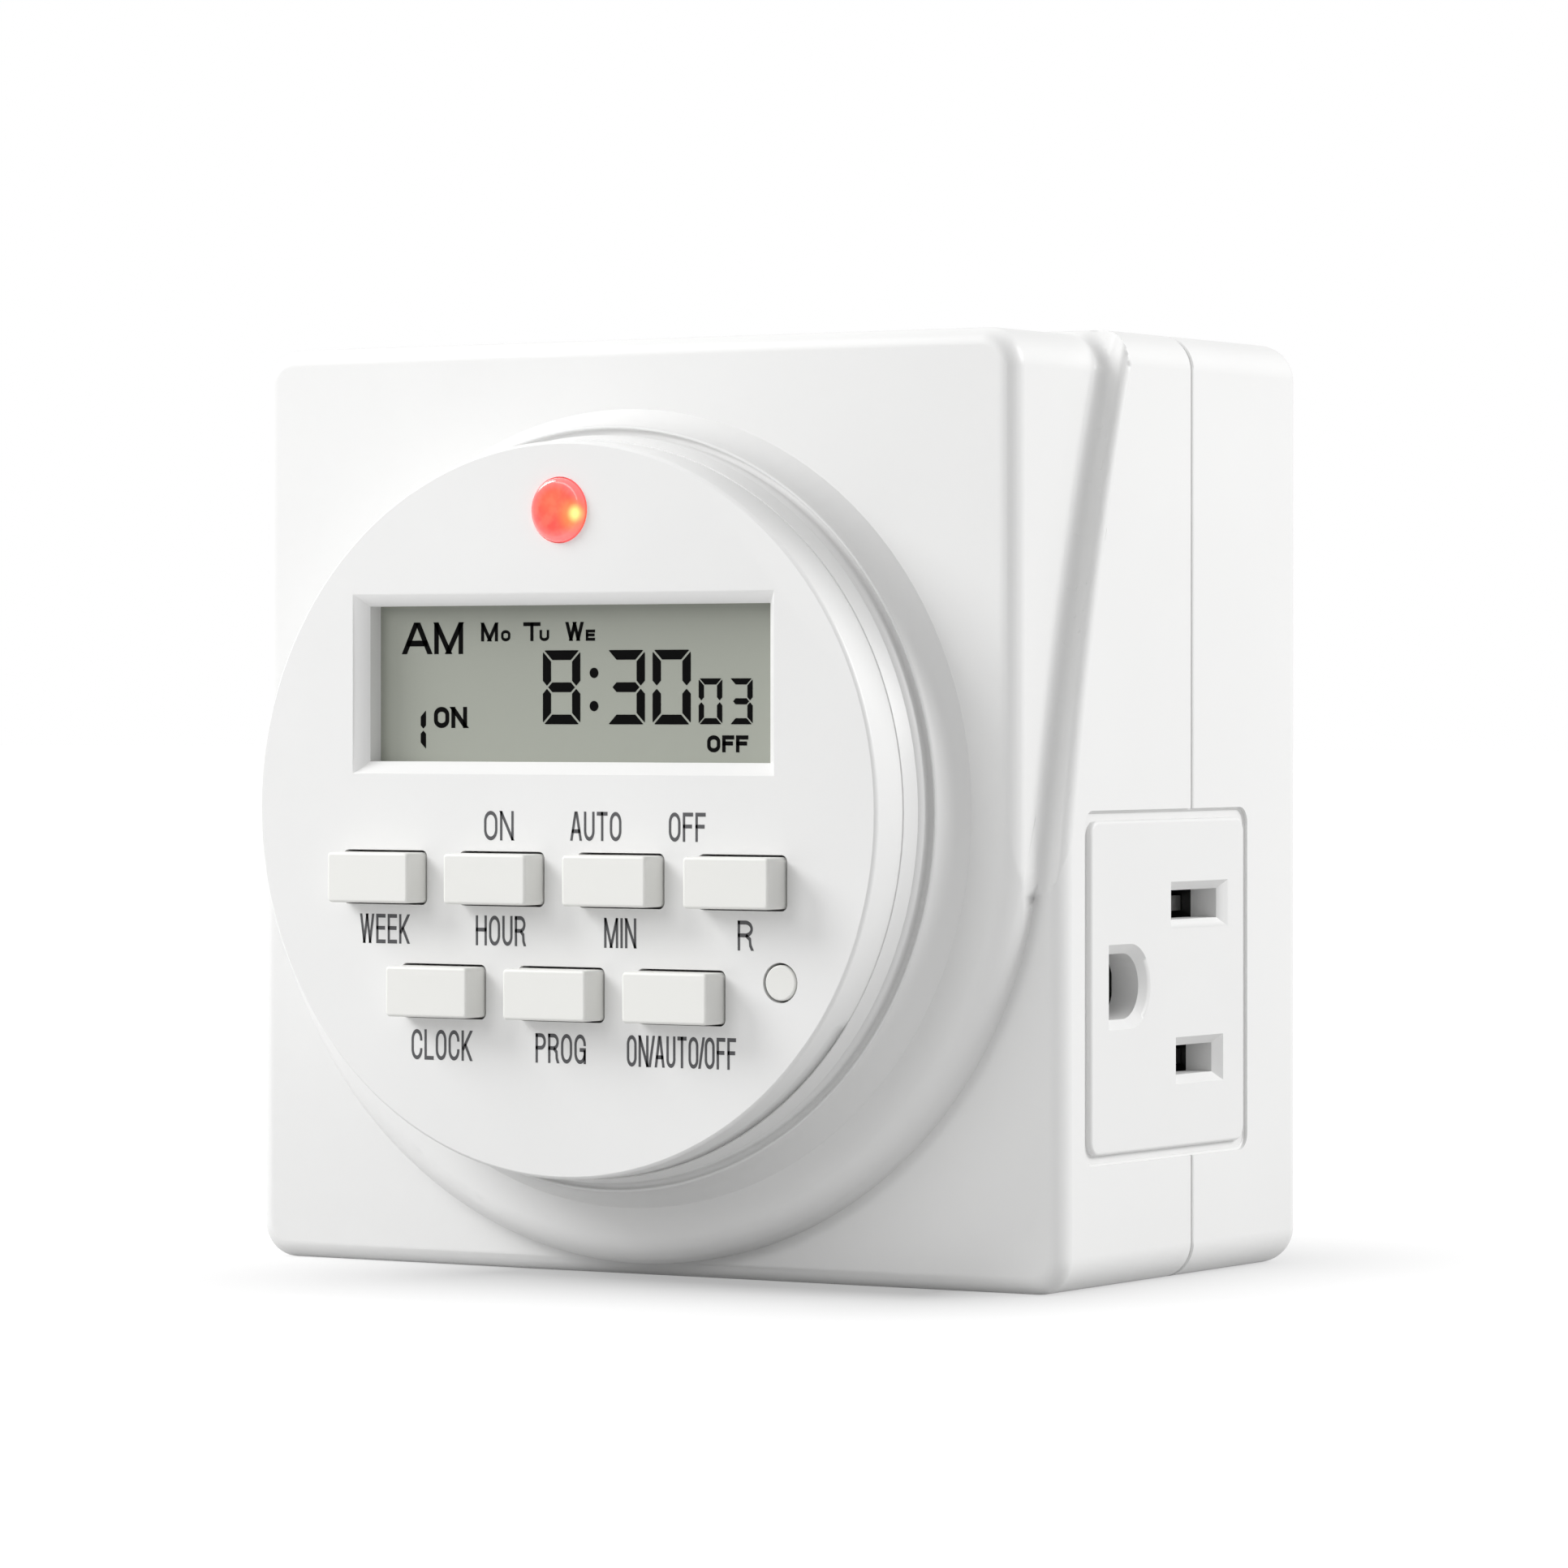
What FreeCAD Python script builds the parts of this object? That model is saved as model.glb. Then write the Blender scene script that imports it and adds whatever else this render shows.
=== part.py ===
"""Programmable outlet timer: a plug-in housing with a round digital dial and an outlet on each side.

Millimetres, +Z up. The origin is the centre of the housing's underside: X runs across the dial, Y runs
from the dial (negative) to the plug blades (positive), and the main housing is centred on Y = 0.
"""
import FreeCAD, Part

import math
import os

# Main housing: a rounded box, split by a seam into a front and a rear shell
housing_width = 78.6
housing_height = 77.3
housing_depth = 41.8
wall = 2.2
housing_corner = 3.0
rear_edge = 3.0
front_edge = 1.5
seam_y = 0.5
seam_groove = 0.35
seam_groove_depth = 0.6
seam_edge = 0.12
tongue_depth = 1.9
tongue_thickness = 1.2
fit_gap = 0.15

# How far cutting solids run past what they cut, and how deep pieces of one solid are sunk to join
over_cut = 3.0
join_overlap = 0.5

# Raised front block, narrower than the housing, that ends below in an arc about the dial axis
block_side_step = 2.55
block_rise = 3.1
block_top_drop = 0.3
block_corner = 3.2
block_edge = 1.5
block_least_corner = 0.5
lip_overhang = 0.65
lip_base_gap = 1.1
lip_edge = 2.3
lip_blend = 20.0
step_run = 11.5
step_bulge = 1.25
step_fillet = 1.2
step_edge = 0.8
step_edge_run_out = 1.0

# Ringed dial boss, as radii about the dial axis
boss_foot_radius = 32.7
boss_rim_radius = 31.3
boss_rim_height = 3.0
boss_rim_land = 0.15
boss_rim_slope = 0.1
boss_flare = 0.39
boss_cove = 0.18
boss_root = 1.0
ring_radius = 30.4
ring_start_height = 4.5
ring_top_height = 6.0
ring_taper = 0.4
boss_bore_radius = 28.2

# Dial cap with its windows
cap_radius = 29.9
cap_height = 3.9
cap_draft = 0.1
cap_edge_width = 0.25
cap_edge_depth = 0.5
cap_side_wall = 2.2
spigot_length = 3.0
spigot_wall = 1.1
spigot_root = 0.6
cap_pillar_radius = 1.9
cap_pillar_hole = 0.75
cap_pillar_floor = 0.4
cap_pillar_places = ((-10.0, 21.6), (10.0, 21.6), (-12.0, -21.0), (12.0, -21.0))

# Display window and panel; heights are measured up from the dial axis
window_width = 40.7
window_low = 2.85
window_high = 17.57
window_bevel = 1.0
window_bevel_depth = 1.1
glass_depth = 2.6
panel_margin = 0.8
panel_thickness = 2.8
panel_ledge = 0.4
panel_frame_wall = 1.4
panel_frame_corner = 0.7
zebra_length = 36.0
zebra_width = 2.0
zebra_inset = 0.3

# Keys; the offsets are from the dial axis
key_width = 8.0
key_height = 4.1
key_corner = 0.35
key_edge = 0.25
key_proud = 2.6
key_gap = 0.18
key_flange = 0.8
key_flange_thickness = 0.8
key_travel = 1.0
key_seat_gap = 0.2
upper_row_z = -5.62
upper_row_x = (-17.1, -5.6, 5.9, 17.4)
lower_row_z = -14.85
lower_row_x = (-11.3, 0.2, 11.65)
upper_row_keys = ("key_week", "key_hour", "key_minute", "key_random")
lower_row_keys = ("key_clock", "key_program", "key_mode")
reset_radius = 1.42
reset_x = 20.94
reset_z = -13.5
reset_flange_radius = 1.9
reset_edge = 0.17
puck_width = 4.6
puck_height = 2.2

# Indicator lamp
lamp_radius = 2.6
lamp_z = 24.2
lamp_collar = 0.45
lamp_collar_height = 1.0
lamp_dome = 0.5
lamp_dome_edge = 0.48

# Display board and silicone mat
board_thickness = 1.6
display_board_radius = 26.5
board_setback = 7.3
mat_thickness = 1.0
mat_wall = 0.5
mat_lid_margin = 0.6
mat_dome_rise = 1.5
mat_dome_spread = 1.1
mat_edge = 1.2
reset_lid_radius = 1.0
reset_dome_radius = 1.5
screw_head_radius = 1.5
screw_head_height = 1.0
screw_edge_share = 0.4
display_screw_bite = 3.0

# Outlet inserts; the right one is modelled and the left one is the same part turned half round
outlet_front_gap = 4.25
outlet_length = 26.15
outlet_height = 26.8
outlet_low_z = 10.9
outlet_gap = 0.12
outlet_corner = 1.2
outlet_edge = 0.3
outlet_proud = 0.15
outlet_rim = 0.7
outlet_rim_depth = 0.35
outlet_plate = 3.1
outlet_flange = 1.2
outlet_flange_thickness = 1.6
outlet_body_x = 20.0
outlet_body_margin = 1.1
slot_bevel = 0.72
slot_bevel_depth = 0.72
slot_height = 2.4
chamber_margin = 1.8
neutral_slot_length = 8.45
line_slot_length = 6.8
ground_hole_height = 5.3
ground_hole_length = 5.45
ground_hole_shift = 0.07
ground_hole_bevel = 0.78
blade_line_inset = 18.3
ground_offset = 11.9

# Plug, to the sizes of a grounded 15 ampere plug
blade_spacing = 12.7
blade_width = 6.35
blade_thickness = 1.52
blade_length = 17.5
blade_nose = 1.6
blade_nose_inset = 0.56
blade_nose_thickness = 0.84
ground_pin_radius = 2.38
ground_pin_length = 20.6
ground_pin_nose = 1.67
ground_pin_root_radius = 2.6
ground_pin_root_proud = 0.5
blade_top_gap = 23.3
blade_tail_reach = 4.4
ground_tail_radius = 1.5
carrier_width = 24.0
carrier_margin = 5.0
carrier_corner = 1.5

# Contacts and bus strips
contact_thickness = 0.5
contact_jaw = 1.25
contact_gap = 0.75
contact_gap_drop = 1.07
contact_width = 8.6
contact_tip = 1.0
contact_root = 1.5
contact_clearance = 0.15
ground_contact_gap = 4.9
ground_contact_width = 5.2
bus_thickness = 0.8
bus_end_x = 18.0
bus_gap = 0.8
bus_tab = 5.0
neutral_tab_gap = 1.2

# Power board and what stands on it, placed as (x, height above the board's lower edge)
power_board_back_gap = 8.5
power_board_width = 55.0
power_board_height = 34.0
power_board_top_gap = 3.8
board_screw_inset_x = 3.5
board_screw_inset_z = 4.0
board_post_radius = 2.5
board_pilot_radius = 1.15
board_screw_length = 4.5
board_screw_head_radius = 1.8
case_edge = 0.8
relay_size = (15.5, 15.3, 19.0)
relay_place = (-26.8, 6.7)
film_size = (8.0, 14.0, 18.0)
film_place = (10.6, 3.9)
electrolytic_radius = 4.0
electrolytic_height = 12.0
electrolytic_edge = 0.6
electrolytic_place = (23.4, 11.0)
crimp_height = 1.8
crimp_offset = 0.35
crimp_radius = 0.6
varistor_radius = 5.0
varistor_thickness = 3.6
varistor_edge = 1.26
varistor_foot = (1.8, 2.0, 5.0)
varistor_place = (23.4, 22.1)
resistor_radius = 2.0
resistor_length = 10.5
resistor_place = (-7.5, 30.0)
diode_radius = 1.3
diode_length = 5.0
diode_count = 4
diode_pitch = 2.9
diode_place = (5.9, 23.7)
axial_edge_share = 0.3
lead_reach = 1.2
lead_half = 0.3

# Pieces on the back of the display board, placed from the dial axis
battery_radius = 7.6
battery_thickness = 5.4
battery_edge = 0.8
battery_place = (-12.0, -4.0)
controller_radius = 4.6
controller_height = 1.5
controller_place = (9.0, -3.0)
crystal_radius = 1.0
crystal_length = 6.0
crystal_edge = 0.4
crystal_lead = 1.5
crystal_place = (9.0, -14.0)
ribbon_width = 9.0
ribbon_thickness = 0.9
ribbon_start_z = 14.0
ribbon_end_z = 20.5
ribbon_bend = 4.0

# Housing screws
screw_inset_x = 6.3
screw_inset_z = 5.2
screw_well_radius = 3.2
screw_well_wall = 1.2
screw_well_depth = 12.0
screw_hole_radius = 1.7
screw_post_radius = 3.4
screw_pilot_radius = 1.45
screw_pilot_depth = 9.0
screw_bite = 7.6
screw_shank_gap = 0.05
housing_screw_head_radius = 2.8
housing_screw_head_height = 2.0


def vec(x, y, z):
    """A point or direction in the part's frame."""
    return FreeCAD.Vector(x, y, z)


along_y = vec(0, 1, 0)
half_width = housing_width / 2
block_width = housing_width - 2 * block_side_step
lip_radius = block_width / 2 + lip_overhang
dial_height = lip_radius + lip_base_gap
front_y = -housing_depth / 2
back_y = housing_depth / 2
block_y = front_y - block_rise
cap_seat_y = block_y - ring_top_height
cap_y = cap_seat_y - cap_height
glass_y = cap_y + glass_depth
board_y = cap_y + board_setback
cap_inner_y = cap_y + wall
display_board_back_y = board_y + board_thickness
axis_point = vec(0, 0, dial_height)
spigot_radius = boss_bore_radius - fit_gap
mat_lid_y = board_y - mat_thickness - mat_dome_rise
outlet_front_y = front_y + outlet_front_gap
outlet_back_y = outlet_front_y + outlet_length
outlet_high_z = outlet_low_z + outlet_height
outlet_z = (outlet_low_z + outlet_high_z) / 2
neutral_z = outlet_z + blade_spacing / 2
line_z = outlet_z - blade_spacing / 2
chamber_height = slot_height + 2 * chamber_margin
blade_line_y = outlet_front_y + blade_line_inset
ground_hole_y = blade_line_y - ground_offset
blade_z = housing_height - blade_top_gap
ground_pin_z = blade_z - ground_offset
power_board_y = back_y - power_board_back_gap
power_board_high = housing_height - power_board_top_gap
power_board_low = power_board_high - power_board_height


def box(x0, x1, y0, y1, z0, z1):
    """A plain block between two corners."""
    return Part.makeBox(x1 - x0, y1 - y0, z1 - z0, vec(x0, y0, z0))


def rod(x, z, radius, y0, y1):
    """A cylinder along Y."""
    return Part.makeCylinder(radius, y1 - y0, vec(x, y0, z), along_y)


def rounded_outline(x0, x1, z0, z1, radius, y):
    """A rounded rectangle in a plane of constant Y, as a wire."""
    lines = []
    corners = ((x1 - radius, z1 - radius), (x0 + radius, z1 - radius),
               (x0 + radius, z0 + radius), (x1 - radius, z0 + radius))
    ends = []
    for index, (cx, cz) in enumerate(corners):
        turn = [(index + part) * math.pi / 2 for part in (0, 0.5, 1)]
        points = [vec(cx + radius * math.cos(a), y, cz + radius * math.sin(a)) for a in turn]
        lines.append(Part.Arc(*points).toShape())
        ends.append((points[0], points[2]))
    for index, (_, end) in enumerate(ends):
        start = ends[(index + 1) % len(ends)][0]
        if end.distanceToPoint(start) > 1e-6:
            lines.append(Part.makeLine(end, start))
    return Part.Wire(Part.__sortEdges__(lines))


def rounded_block(x0, x1, y0, y1, z0, z1, radius):
    """A block whose four edges along Y are rounded."""
    face = Part.Face(rounded_outline(x0, x1, z0, z1, radius, y0))
    return face.extrude(vec(0, y1 - y0, 0))


def revolved(profile):
    """A solid of revolution about the dial axis from (radius, y) points, where an 'arc' entry bulges."""
    edges = []
    start = None
    for entry in profile:
        point = vec(entry[0], entry[1], dial_height)
        if start is not None:
            if len(entry) == 4:
                middle = vec(entry[2], entry[3], dial_height)
                edges.append(Part.Arc(start, middle, point).toShape())
            else:
                edges.append(Part.makeLine(start, point))
        start = point
    first = vec(profile[0][0], profile[0][1], dial_height)
    edges.append(Part.makeLine(start, first))
    face = Part.Face(Part.Wire(edges))
    return face.revolve(axis_point, along_y, 360)


def edges_where(shape, test):
    """The edges of a shape whose points all pass a test."""
    found = []
    for edge in shape.Edges:
        steps = [edge.FirstParameter + (edge.LastParameter - edge.FirstParameter) * k / 4 for k in range(5)]
        if all(test(edge.valueAt(value)) for value in steps):
            found.append(edge)
    return found


def side_arc_points():
    """Three points (y, z) of the arc, seen from the side, where the block steps out to the housing."""
    drop = math.sqrt(lip_radius ** 2 - (block_width / 2) ** 2)
    low = (front_y, dial_height - drop)
    high = (front_y + step_run, housing_height)
    middle = ((low[0] + high[0]) / 2 - step_bulge, (low[1] + high[1]) / 2)
    return low, middle, high


def side_arc_circle():
    """Centre (y, z) and radius of the side arc."""
    (ay, az), (by, bz), (cy, cz) = side_arc_points()
    d = 2 * (ay * (bz - cz) + by * (cz - az) + cy * (az - bz))
    a2, b2, c2 = ay * ay + az * az, by * by + bz * bz, cy * cy + cz * cz
    centre_y = (a2 * (bz - cz) + b2 * (cz - az) + c2 * (az - bz)) / d
    centre_z = (a2 * (cy - by) + b2 * (ay - cy) + c2 * (by - ay)) / d
    return centre_y, centre_z, math.hypot(ay - centre_y, az - centre_z)


def block_outline(inset, y):
    """The raised block's outline: straight sides that blend into an arc about the dial axis below."""
    half = block_width / 2 - inset
    top = housing_height - block_top_drop - inset
    radius = lip_radius - inset
    blend = lip_blend - inset
    corner = max(block_corner - inset, block_least_corner)
    blend_x = half - blend
    blend_z = dial_height - math.sqrt((radius - blend) ** 2 - blend_x ** 2)
    reach = math.atan2(blend_z - dial_height, blend_x)
    joint = (radius * math.cos(reach), dial_height + radius * math.sin(reach))
    bulge = (blend_x + blend * math.cos(reach / 2), blend_z + blend * math.sin(reach / 2))
    slant = corner * math.sqrt(0.5)
    lines = [
        Part.makeLine(vec(half, y, blend_z), vec(half, y, top - corner)),
        Part.Arc(vec(half, y, top - corner), vec(half - corner + slant, y, top - corner + slant),
                 vec(half - corner, y, top)).toShape(),
        Part.makeLine(vec(half - corner, y, top), vec(corner - half, y, top)),
        Part.Arc(vec(corner - half, y, top), vec(corner - half - slant, y, top - corner + slant),
                 vec(-half, y, top - corner)).toShape(),
        Part.makeLine(vec(-half, y, top - corner), vec(-half, y, blend_z)),
        Part.Arc(vec(-half, y, blend_z), vec(-bulge[0], y, bulge[1]), vec(-joint[0], y, joint[1])).toShape(),
        Part.Arc(vec(-joint[0], y, joint[1]), vec(0, y, dial_height - radius),
                 vec(joint[0], y, joint[1])).toShape(),
        Part.Arc(vec(joint[0], y, joint[1]), vec(bulge[0], y, bulge[1]), vec(half, y, blend_z)).toShape(),
    ]
    return Part.Wire(lines)


def step_cutter():
    """What is cut away ahead of the side arc and around the block, with the block's foot rounded."""
    (low_y, low_z), (mid_y, mid_z), (high_y, high_z) = side_arc_points()
    reach = half_width + over_cut
    ahead = block_y - over_cut
    above = housing_height + over_cut
    low, high = vec(-reach, low_y, low_z), vec(-reach, high_y, high_z)
    outline = Part.Wire([
        Part.Arc(low, vec(-reach, mid_y, mid_z), high).toShape(),
        Part.makeLine(high, vec(-reach, high_y, above)),
        Part.makeLine(vec(-reach, high_y, above), vec(-reach, ahead, above)),
        Part.makeLine(vec(-reach, ahead, above), vec(-reach, ahead, low_z)),
        Part.makeLine(vec(-reach, ahead, low_z), low),
    ])
    region = Part.Face(outline).extrude(vec(2 * reach, 0, 0))
    block = Part.Face(block_outline(0, ahead - over_cut)).extrude(vec(0, housing_depth, 0))
    cutter = region.cut(block)
    centre_y, centre_z, radius = side_arc_circle()

    def at_foot(point):
        on_arc = abs(math.hypot(point.y - centre_y, point.z - centre_z) - radius) < 1e-3
        return on_arc and abs(point.x) < block_width / 2 + 1e-3 and point.z > low_z - 1e-3

    beside = block_width / 2 - step_fillet / 2
    sides = [edge for edge in edges_where(cutter, at_foot) if abs(edge.CenterOfMass.x) > beside]
    return cutter.makeFillet(step_fillet, sides)


def revolve_cut_side(side):
    """Rounds the outer edge of the side step: its profile turned about the side arc's centre."""
    centre_y, centre_z, radius = side_arc_circle()
    inner_x = side * (half_width - step_edge)
    edge_x = side * half_width
    far_x = side * (half_width + over_cut)
    slant = step_edge * (1 - math.sqrt(0.5))
    y_step = centre_y - radius
    start = vec(inner_x, y_step, centre_z)
    end = vec(edge_x, y_step + step_edge, centre_z)
    far_back = vec(far_x, y_step + step_edge, centre_z)
    far_front = vec(far_x, y_step - over_cut, centre_z)
    near_front = vec(inner_x, y_step - over_cut, centre_z)
    wire = Part.Wire([
        Part.Arc(start, vec(edge_x - side * slant, y_step + slant, centre_z), end).toShape(),
        Part.makeLine(end, far_back),
        Part.makeLine(far_back, far_front),
        Part.makeLine(far_front, near_front),
        Part.makeLine(near_front, start),
    ])
    (_, low_z), _, (_, high_z) = side_arc_points()
    first = math.degrees(math.asin((low_z - step_edge_run_out - centre_z) / radius))
    last = math.degrees(math.asin((high_z + over_cut - centre_z) / radius))
    pivot = vec(0, centre_y, centre_z)
    face = Part.Face(wire)
    face.rotate(pivot, vec(-1, 0, 0), first)
    return face.revolve(pivot, vec(-1, 0, 0), last - first)


def lip_prism(depth):
    """A prism with its front edge rounded: half a circle below the dial axis, straight sides above it."""
    left, right = vec(-lip_radius, block_y, dial_height), vec(lip_radius, block_y, dial_height)
    rise = vec(0, 0, housing_height)
    outline = Part.Wire([
        Part.Arc(left, vec(0, block_y, dial_height - lip_radius), right).toShape(),
        Part.makeLine(right, right + rise),
        Part.makeLine(right + rise, left + rise),
        Part.makeLine(left + rise, left),
    ])
    prism = Part.Face(outline).extrude(vec(0, depth, 0))
    return prism.makeFillet(lip_edge, edges_where(prism, lambda p: abs(p.y - block_y) < 1e-6))


def raised_block():
    """The raised front block with its front edge rounded, more so along the lip's arc."""
    depth = block_rise + step_run + wall
    block = Part.Face(block_outline(0, block_y)).extrude(vec(0, depth, 0))
    block = block.makeFillet(block_edge, edges_where(block, lambda p: abs(p.y - block_y) < 1e-6))
    return block.common(lip_prism(depth))


def dial_boss():
    """The ringed boss: a flared foot with a rim, a cove, and a ring under the dial cap."""
    rim_y = block_y - boss_rim_height
    ring_y = block_y - ring_start_height
    cove_y = (rim_y + ring_y) / 2 + boss_rim_slope
    return revolved([
        (0, block_y + boss_root),
        (boss_foot_radius, block_y + boss_root),
        (boss_foot_radius, block_y),
        (boss_rim_radius, rim_y, boss_rim_radius + boss_flare, (block_y + rim_y) / 2),
        (boss_rim_radius - boss_rim_land, rim_y - boss_rim_slope),
        (ring_radius, ring_y, ring_radius + boss_cove, cove_y),
        (ring_radius - ring_taper, cap_seat_y),
        (0, cap_seat_y),
    ])


def housing_half(y0, y1):
    """A rounded box between two planes across the housing."""
    return rounded_block(-half_width, half_width, y0, y1, 0, housing_height, housing_corner)


def rounded_along_x(x0, x1, y0, y1, z0, z1, radius):
    """A block whose four edges along X are rounded."""
    block = box(x0, x1, y0, y1, z0, z1)
    edges = [edge for edge in block.Edges if abs(edge.Length - (x1 - x0)) < 1e-6
             and abs(edge.tangentAt(edge.FirstParameter).x) > 0.9]
    return block.makeFillet(radius, edges)


def outlet_cutout(side):
    """The opening in the side walls that holds an outlet insert."""
    x0, x1 = sorted((side * (outlet_body_x - over_cut), side * (half_width + over_cut)))
    grow = outlet_rim + outlet_gap
    return rounded_along_x(x0, x1, outlet_front_y - grow, outlet_back_y + grow,
                           outlet_low_z - grow, outlet_high_z + grow, outlet_corner + outlet_gap)


def front_shell():
    """The front half of the housing, hollow, with the raised block and the dial boss."""
    shell = housing_half(front_y, seam_y)
    shell = shell.makeFillet(front_edge, edges_where(shell, lambda p: abs(p.y - front_y) < 1e-6))
    shell = shell.makeChamfer(seam_edge, edges_where(shell, lambda p: abs(p.y - seam_y) < 1e-6))
    shell = shell.cut([step_cutter(), revolve_cut_side(1), revolve_cut_side(-1)])
    shell = shell.fuse([raised_block(), dial_boss()])
    block_inner_y = block_y + wall
    shell_inner_y = front_y + wall
    step_inner_y = front_y + step_run + wall
    narrow = block_width / 2 - wall
    top = housing_height - block_top_drop - wall
    behind_block = Part.Face(block_outline(wall, block_inner_y)).extrude(vec(0, block_rise, 0))
    hollow = [
        behind_block,
        box(-narrow, narrow, shell_inner_y, step_inner_y, wall, top),
        box(wall - half_width, half_width - wall, step_inner_y, seam_y, wall, housing_height - wall),
        rod(0, dial_height, boss_bore_radius, cap_seat_y - over_cut, shell_inner_y),
    ]
    shell = shell.cut(hollow)
    posts = []
    pilots = []
    for x, z in housing_screw_places():
        posts.append(rod(x, z, screw_post_radius, shell_inner_y - join_overlap, seam_y))
        pilots.append(rod(x, z, screw_pilot_radius, seam_y - screw_pilot_depth, seam_y))
    shell = shell.fuse([post.common(housing_half(front_y, seam_y)) for post in posts])
    return shell.cut(pilots + [outlet_cutout(1), outlet_cutout(-1)]).removeSplitter()


def housing_screw_places():
    """Where the four housing screws stand, as (x, z)."""
    x = half_width - screw_inset_x
    low, high = screw_inset_z, housing_height - screw_inset_z
    return ((-x, low), (x, low), (-x, high), (x, high))


def rear_shell():
    """The rear half of the housing: a grooved seam with a tongue, screw wells and the plug's openings."""
    groove_y = seam_y + seam_groove
    shell = housing_half(groove_y, back_y)
    shell = shell.makeFillet(rear_edge, edges_where(shell, lambda p: abs(p.y - back_y) < 1e-6))
    shell = shell.makeChamfer(seam_edge, edges_where(shell, lambda p: abs(p.y - groove_y) < 1e-6))
    inset = seam_groove_depth
    shell = shell.fuse(rounded_block(inset - half_width, half_width - inset, seam_y, groove_y + wall,
                                     inset, housing_height - inset, housing_corner - inset))
    inner_y = back_y - wall
    inner_x = half_width - wall
    hollow_top = housing_height - wall
    shell = shell.cut(box(-inner_x, inner_x, seam_y, inner_y, wall, hollow_top))
    tongue_y = seam_y - tongue_depth
    root_y = seam_y + tongue_depth
    x = inner_x - fit_gap
    z0, z1 = wall + fit_gap, hollow_top - fit_gap
    step = tongue_thickness
    tongue = box(-x, x, tongue_y, root_y, z0, z1)
    tongue = tongue.fuse(box(-inner_x, inner_x, seam_y, root_y, wall, hollow_top))
    tongue = tongue.cut(box(step - x, x - step, tongue_y, root_y, z0 + step, z1 - step))
    post_gap = [rod(px, pz, screw_post_radius + fit_gap, tongue_y, seam_y)
                for px, pz in housing_screw_places()]
    shell = shell.fuse(tongue.cut(post_gap))
    wells = []
    drilled = []
    seat_y = back_y - screw_well_depth
    for px, pz in housing_screw_places():
        wells.append(rod(px, pz, screw_well_radius + screw_well_wall, seam_y, inner_y + join_overlap))
        drilled.append(rod(px, pz, screw_well_radius, seat_y, back_y))
        drilled.append(rod(px, pz, screw_hole_radius, seam_y, seat_y))
    for px, pz in board_screw_places():
        wells.append(rod(px, pz, board_post_radius, power_board_y + board_thickness, inner_y + join_overlap))
        drilled.append(rod(px, pz, board_pilot_radius, power_board_y + board_thickness, inner_y))
    body = housing_half(seam_y, back_y - wall / 2)
    shell = shell.fuse([well.common(body) for well in wells])
    for side in (-1, 1):
        x0 = side * blade_spacing / 2
        half_t = blade_thickness / 2 + fit_gap
        half_b = blade_width / 2 + fit_gap
        drilled.append(box(x0 - half_t, x0 + half_t, inner_y, back_y, blade_z - half_b, blade_z + half_b))
    drilled.append(rod(0, ground_pin_z, ground_pin_root_radius + fit_gap, inner_y, back_y))
    return shell.cut(drilled + [outlet_cutout(1), outlet_cutout(-1)]).removeSplitter()


def window_limits(inset):
    """The display window's edges (x0, x1, z0, z1), moved inwards by an inset."""
    half = window_width / 2 - inset
    return -half, half, dial_height + window_low + inset, dial_height + window_high - inset


def frustum(limits_a, y_a, limits_b, y_b):
    """A straight-sided taper between two rectangles (x0, x1, z0, z1) in planes of constant Y."""
    wires = []
    for (x0, x1, z0, z1), y in ((limits_a, y_a), (limits_b, y_b)):
        corners = [vec(x0, y, z0), vec(x1, y, z0), vec(x1, y, z1), vec(x0, y, z1), vec(x0, y, z0)]
        wires.append(Part.makePolygon(corners))
    return Part.makeLoft(wires, True, True)


def key_places():
    """Each rectangular key's node name and centre (x, z)."""
    places = [(name, x, dial_height + upper_row_z) for name, x in zip(upper_row_keys, upper_row_x)]
    places += [(name, x, dial_height + lower_row_z) for name, x in zip(lower_row_keys, lower_row_x)]
    return places


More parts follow.
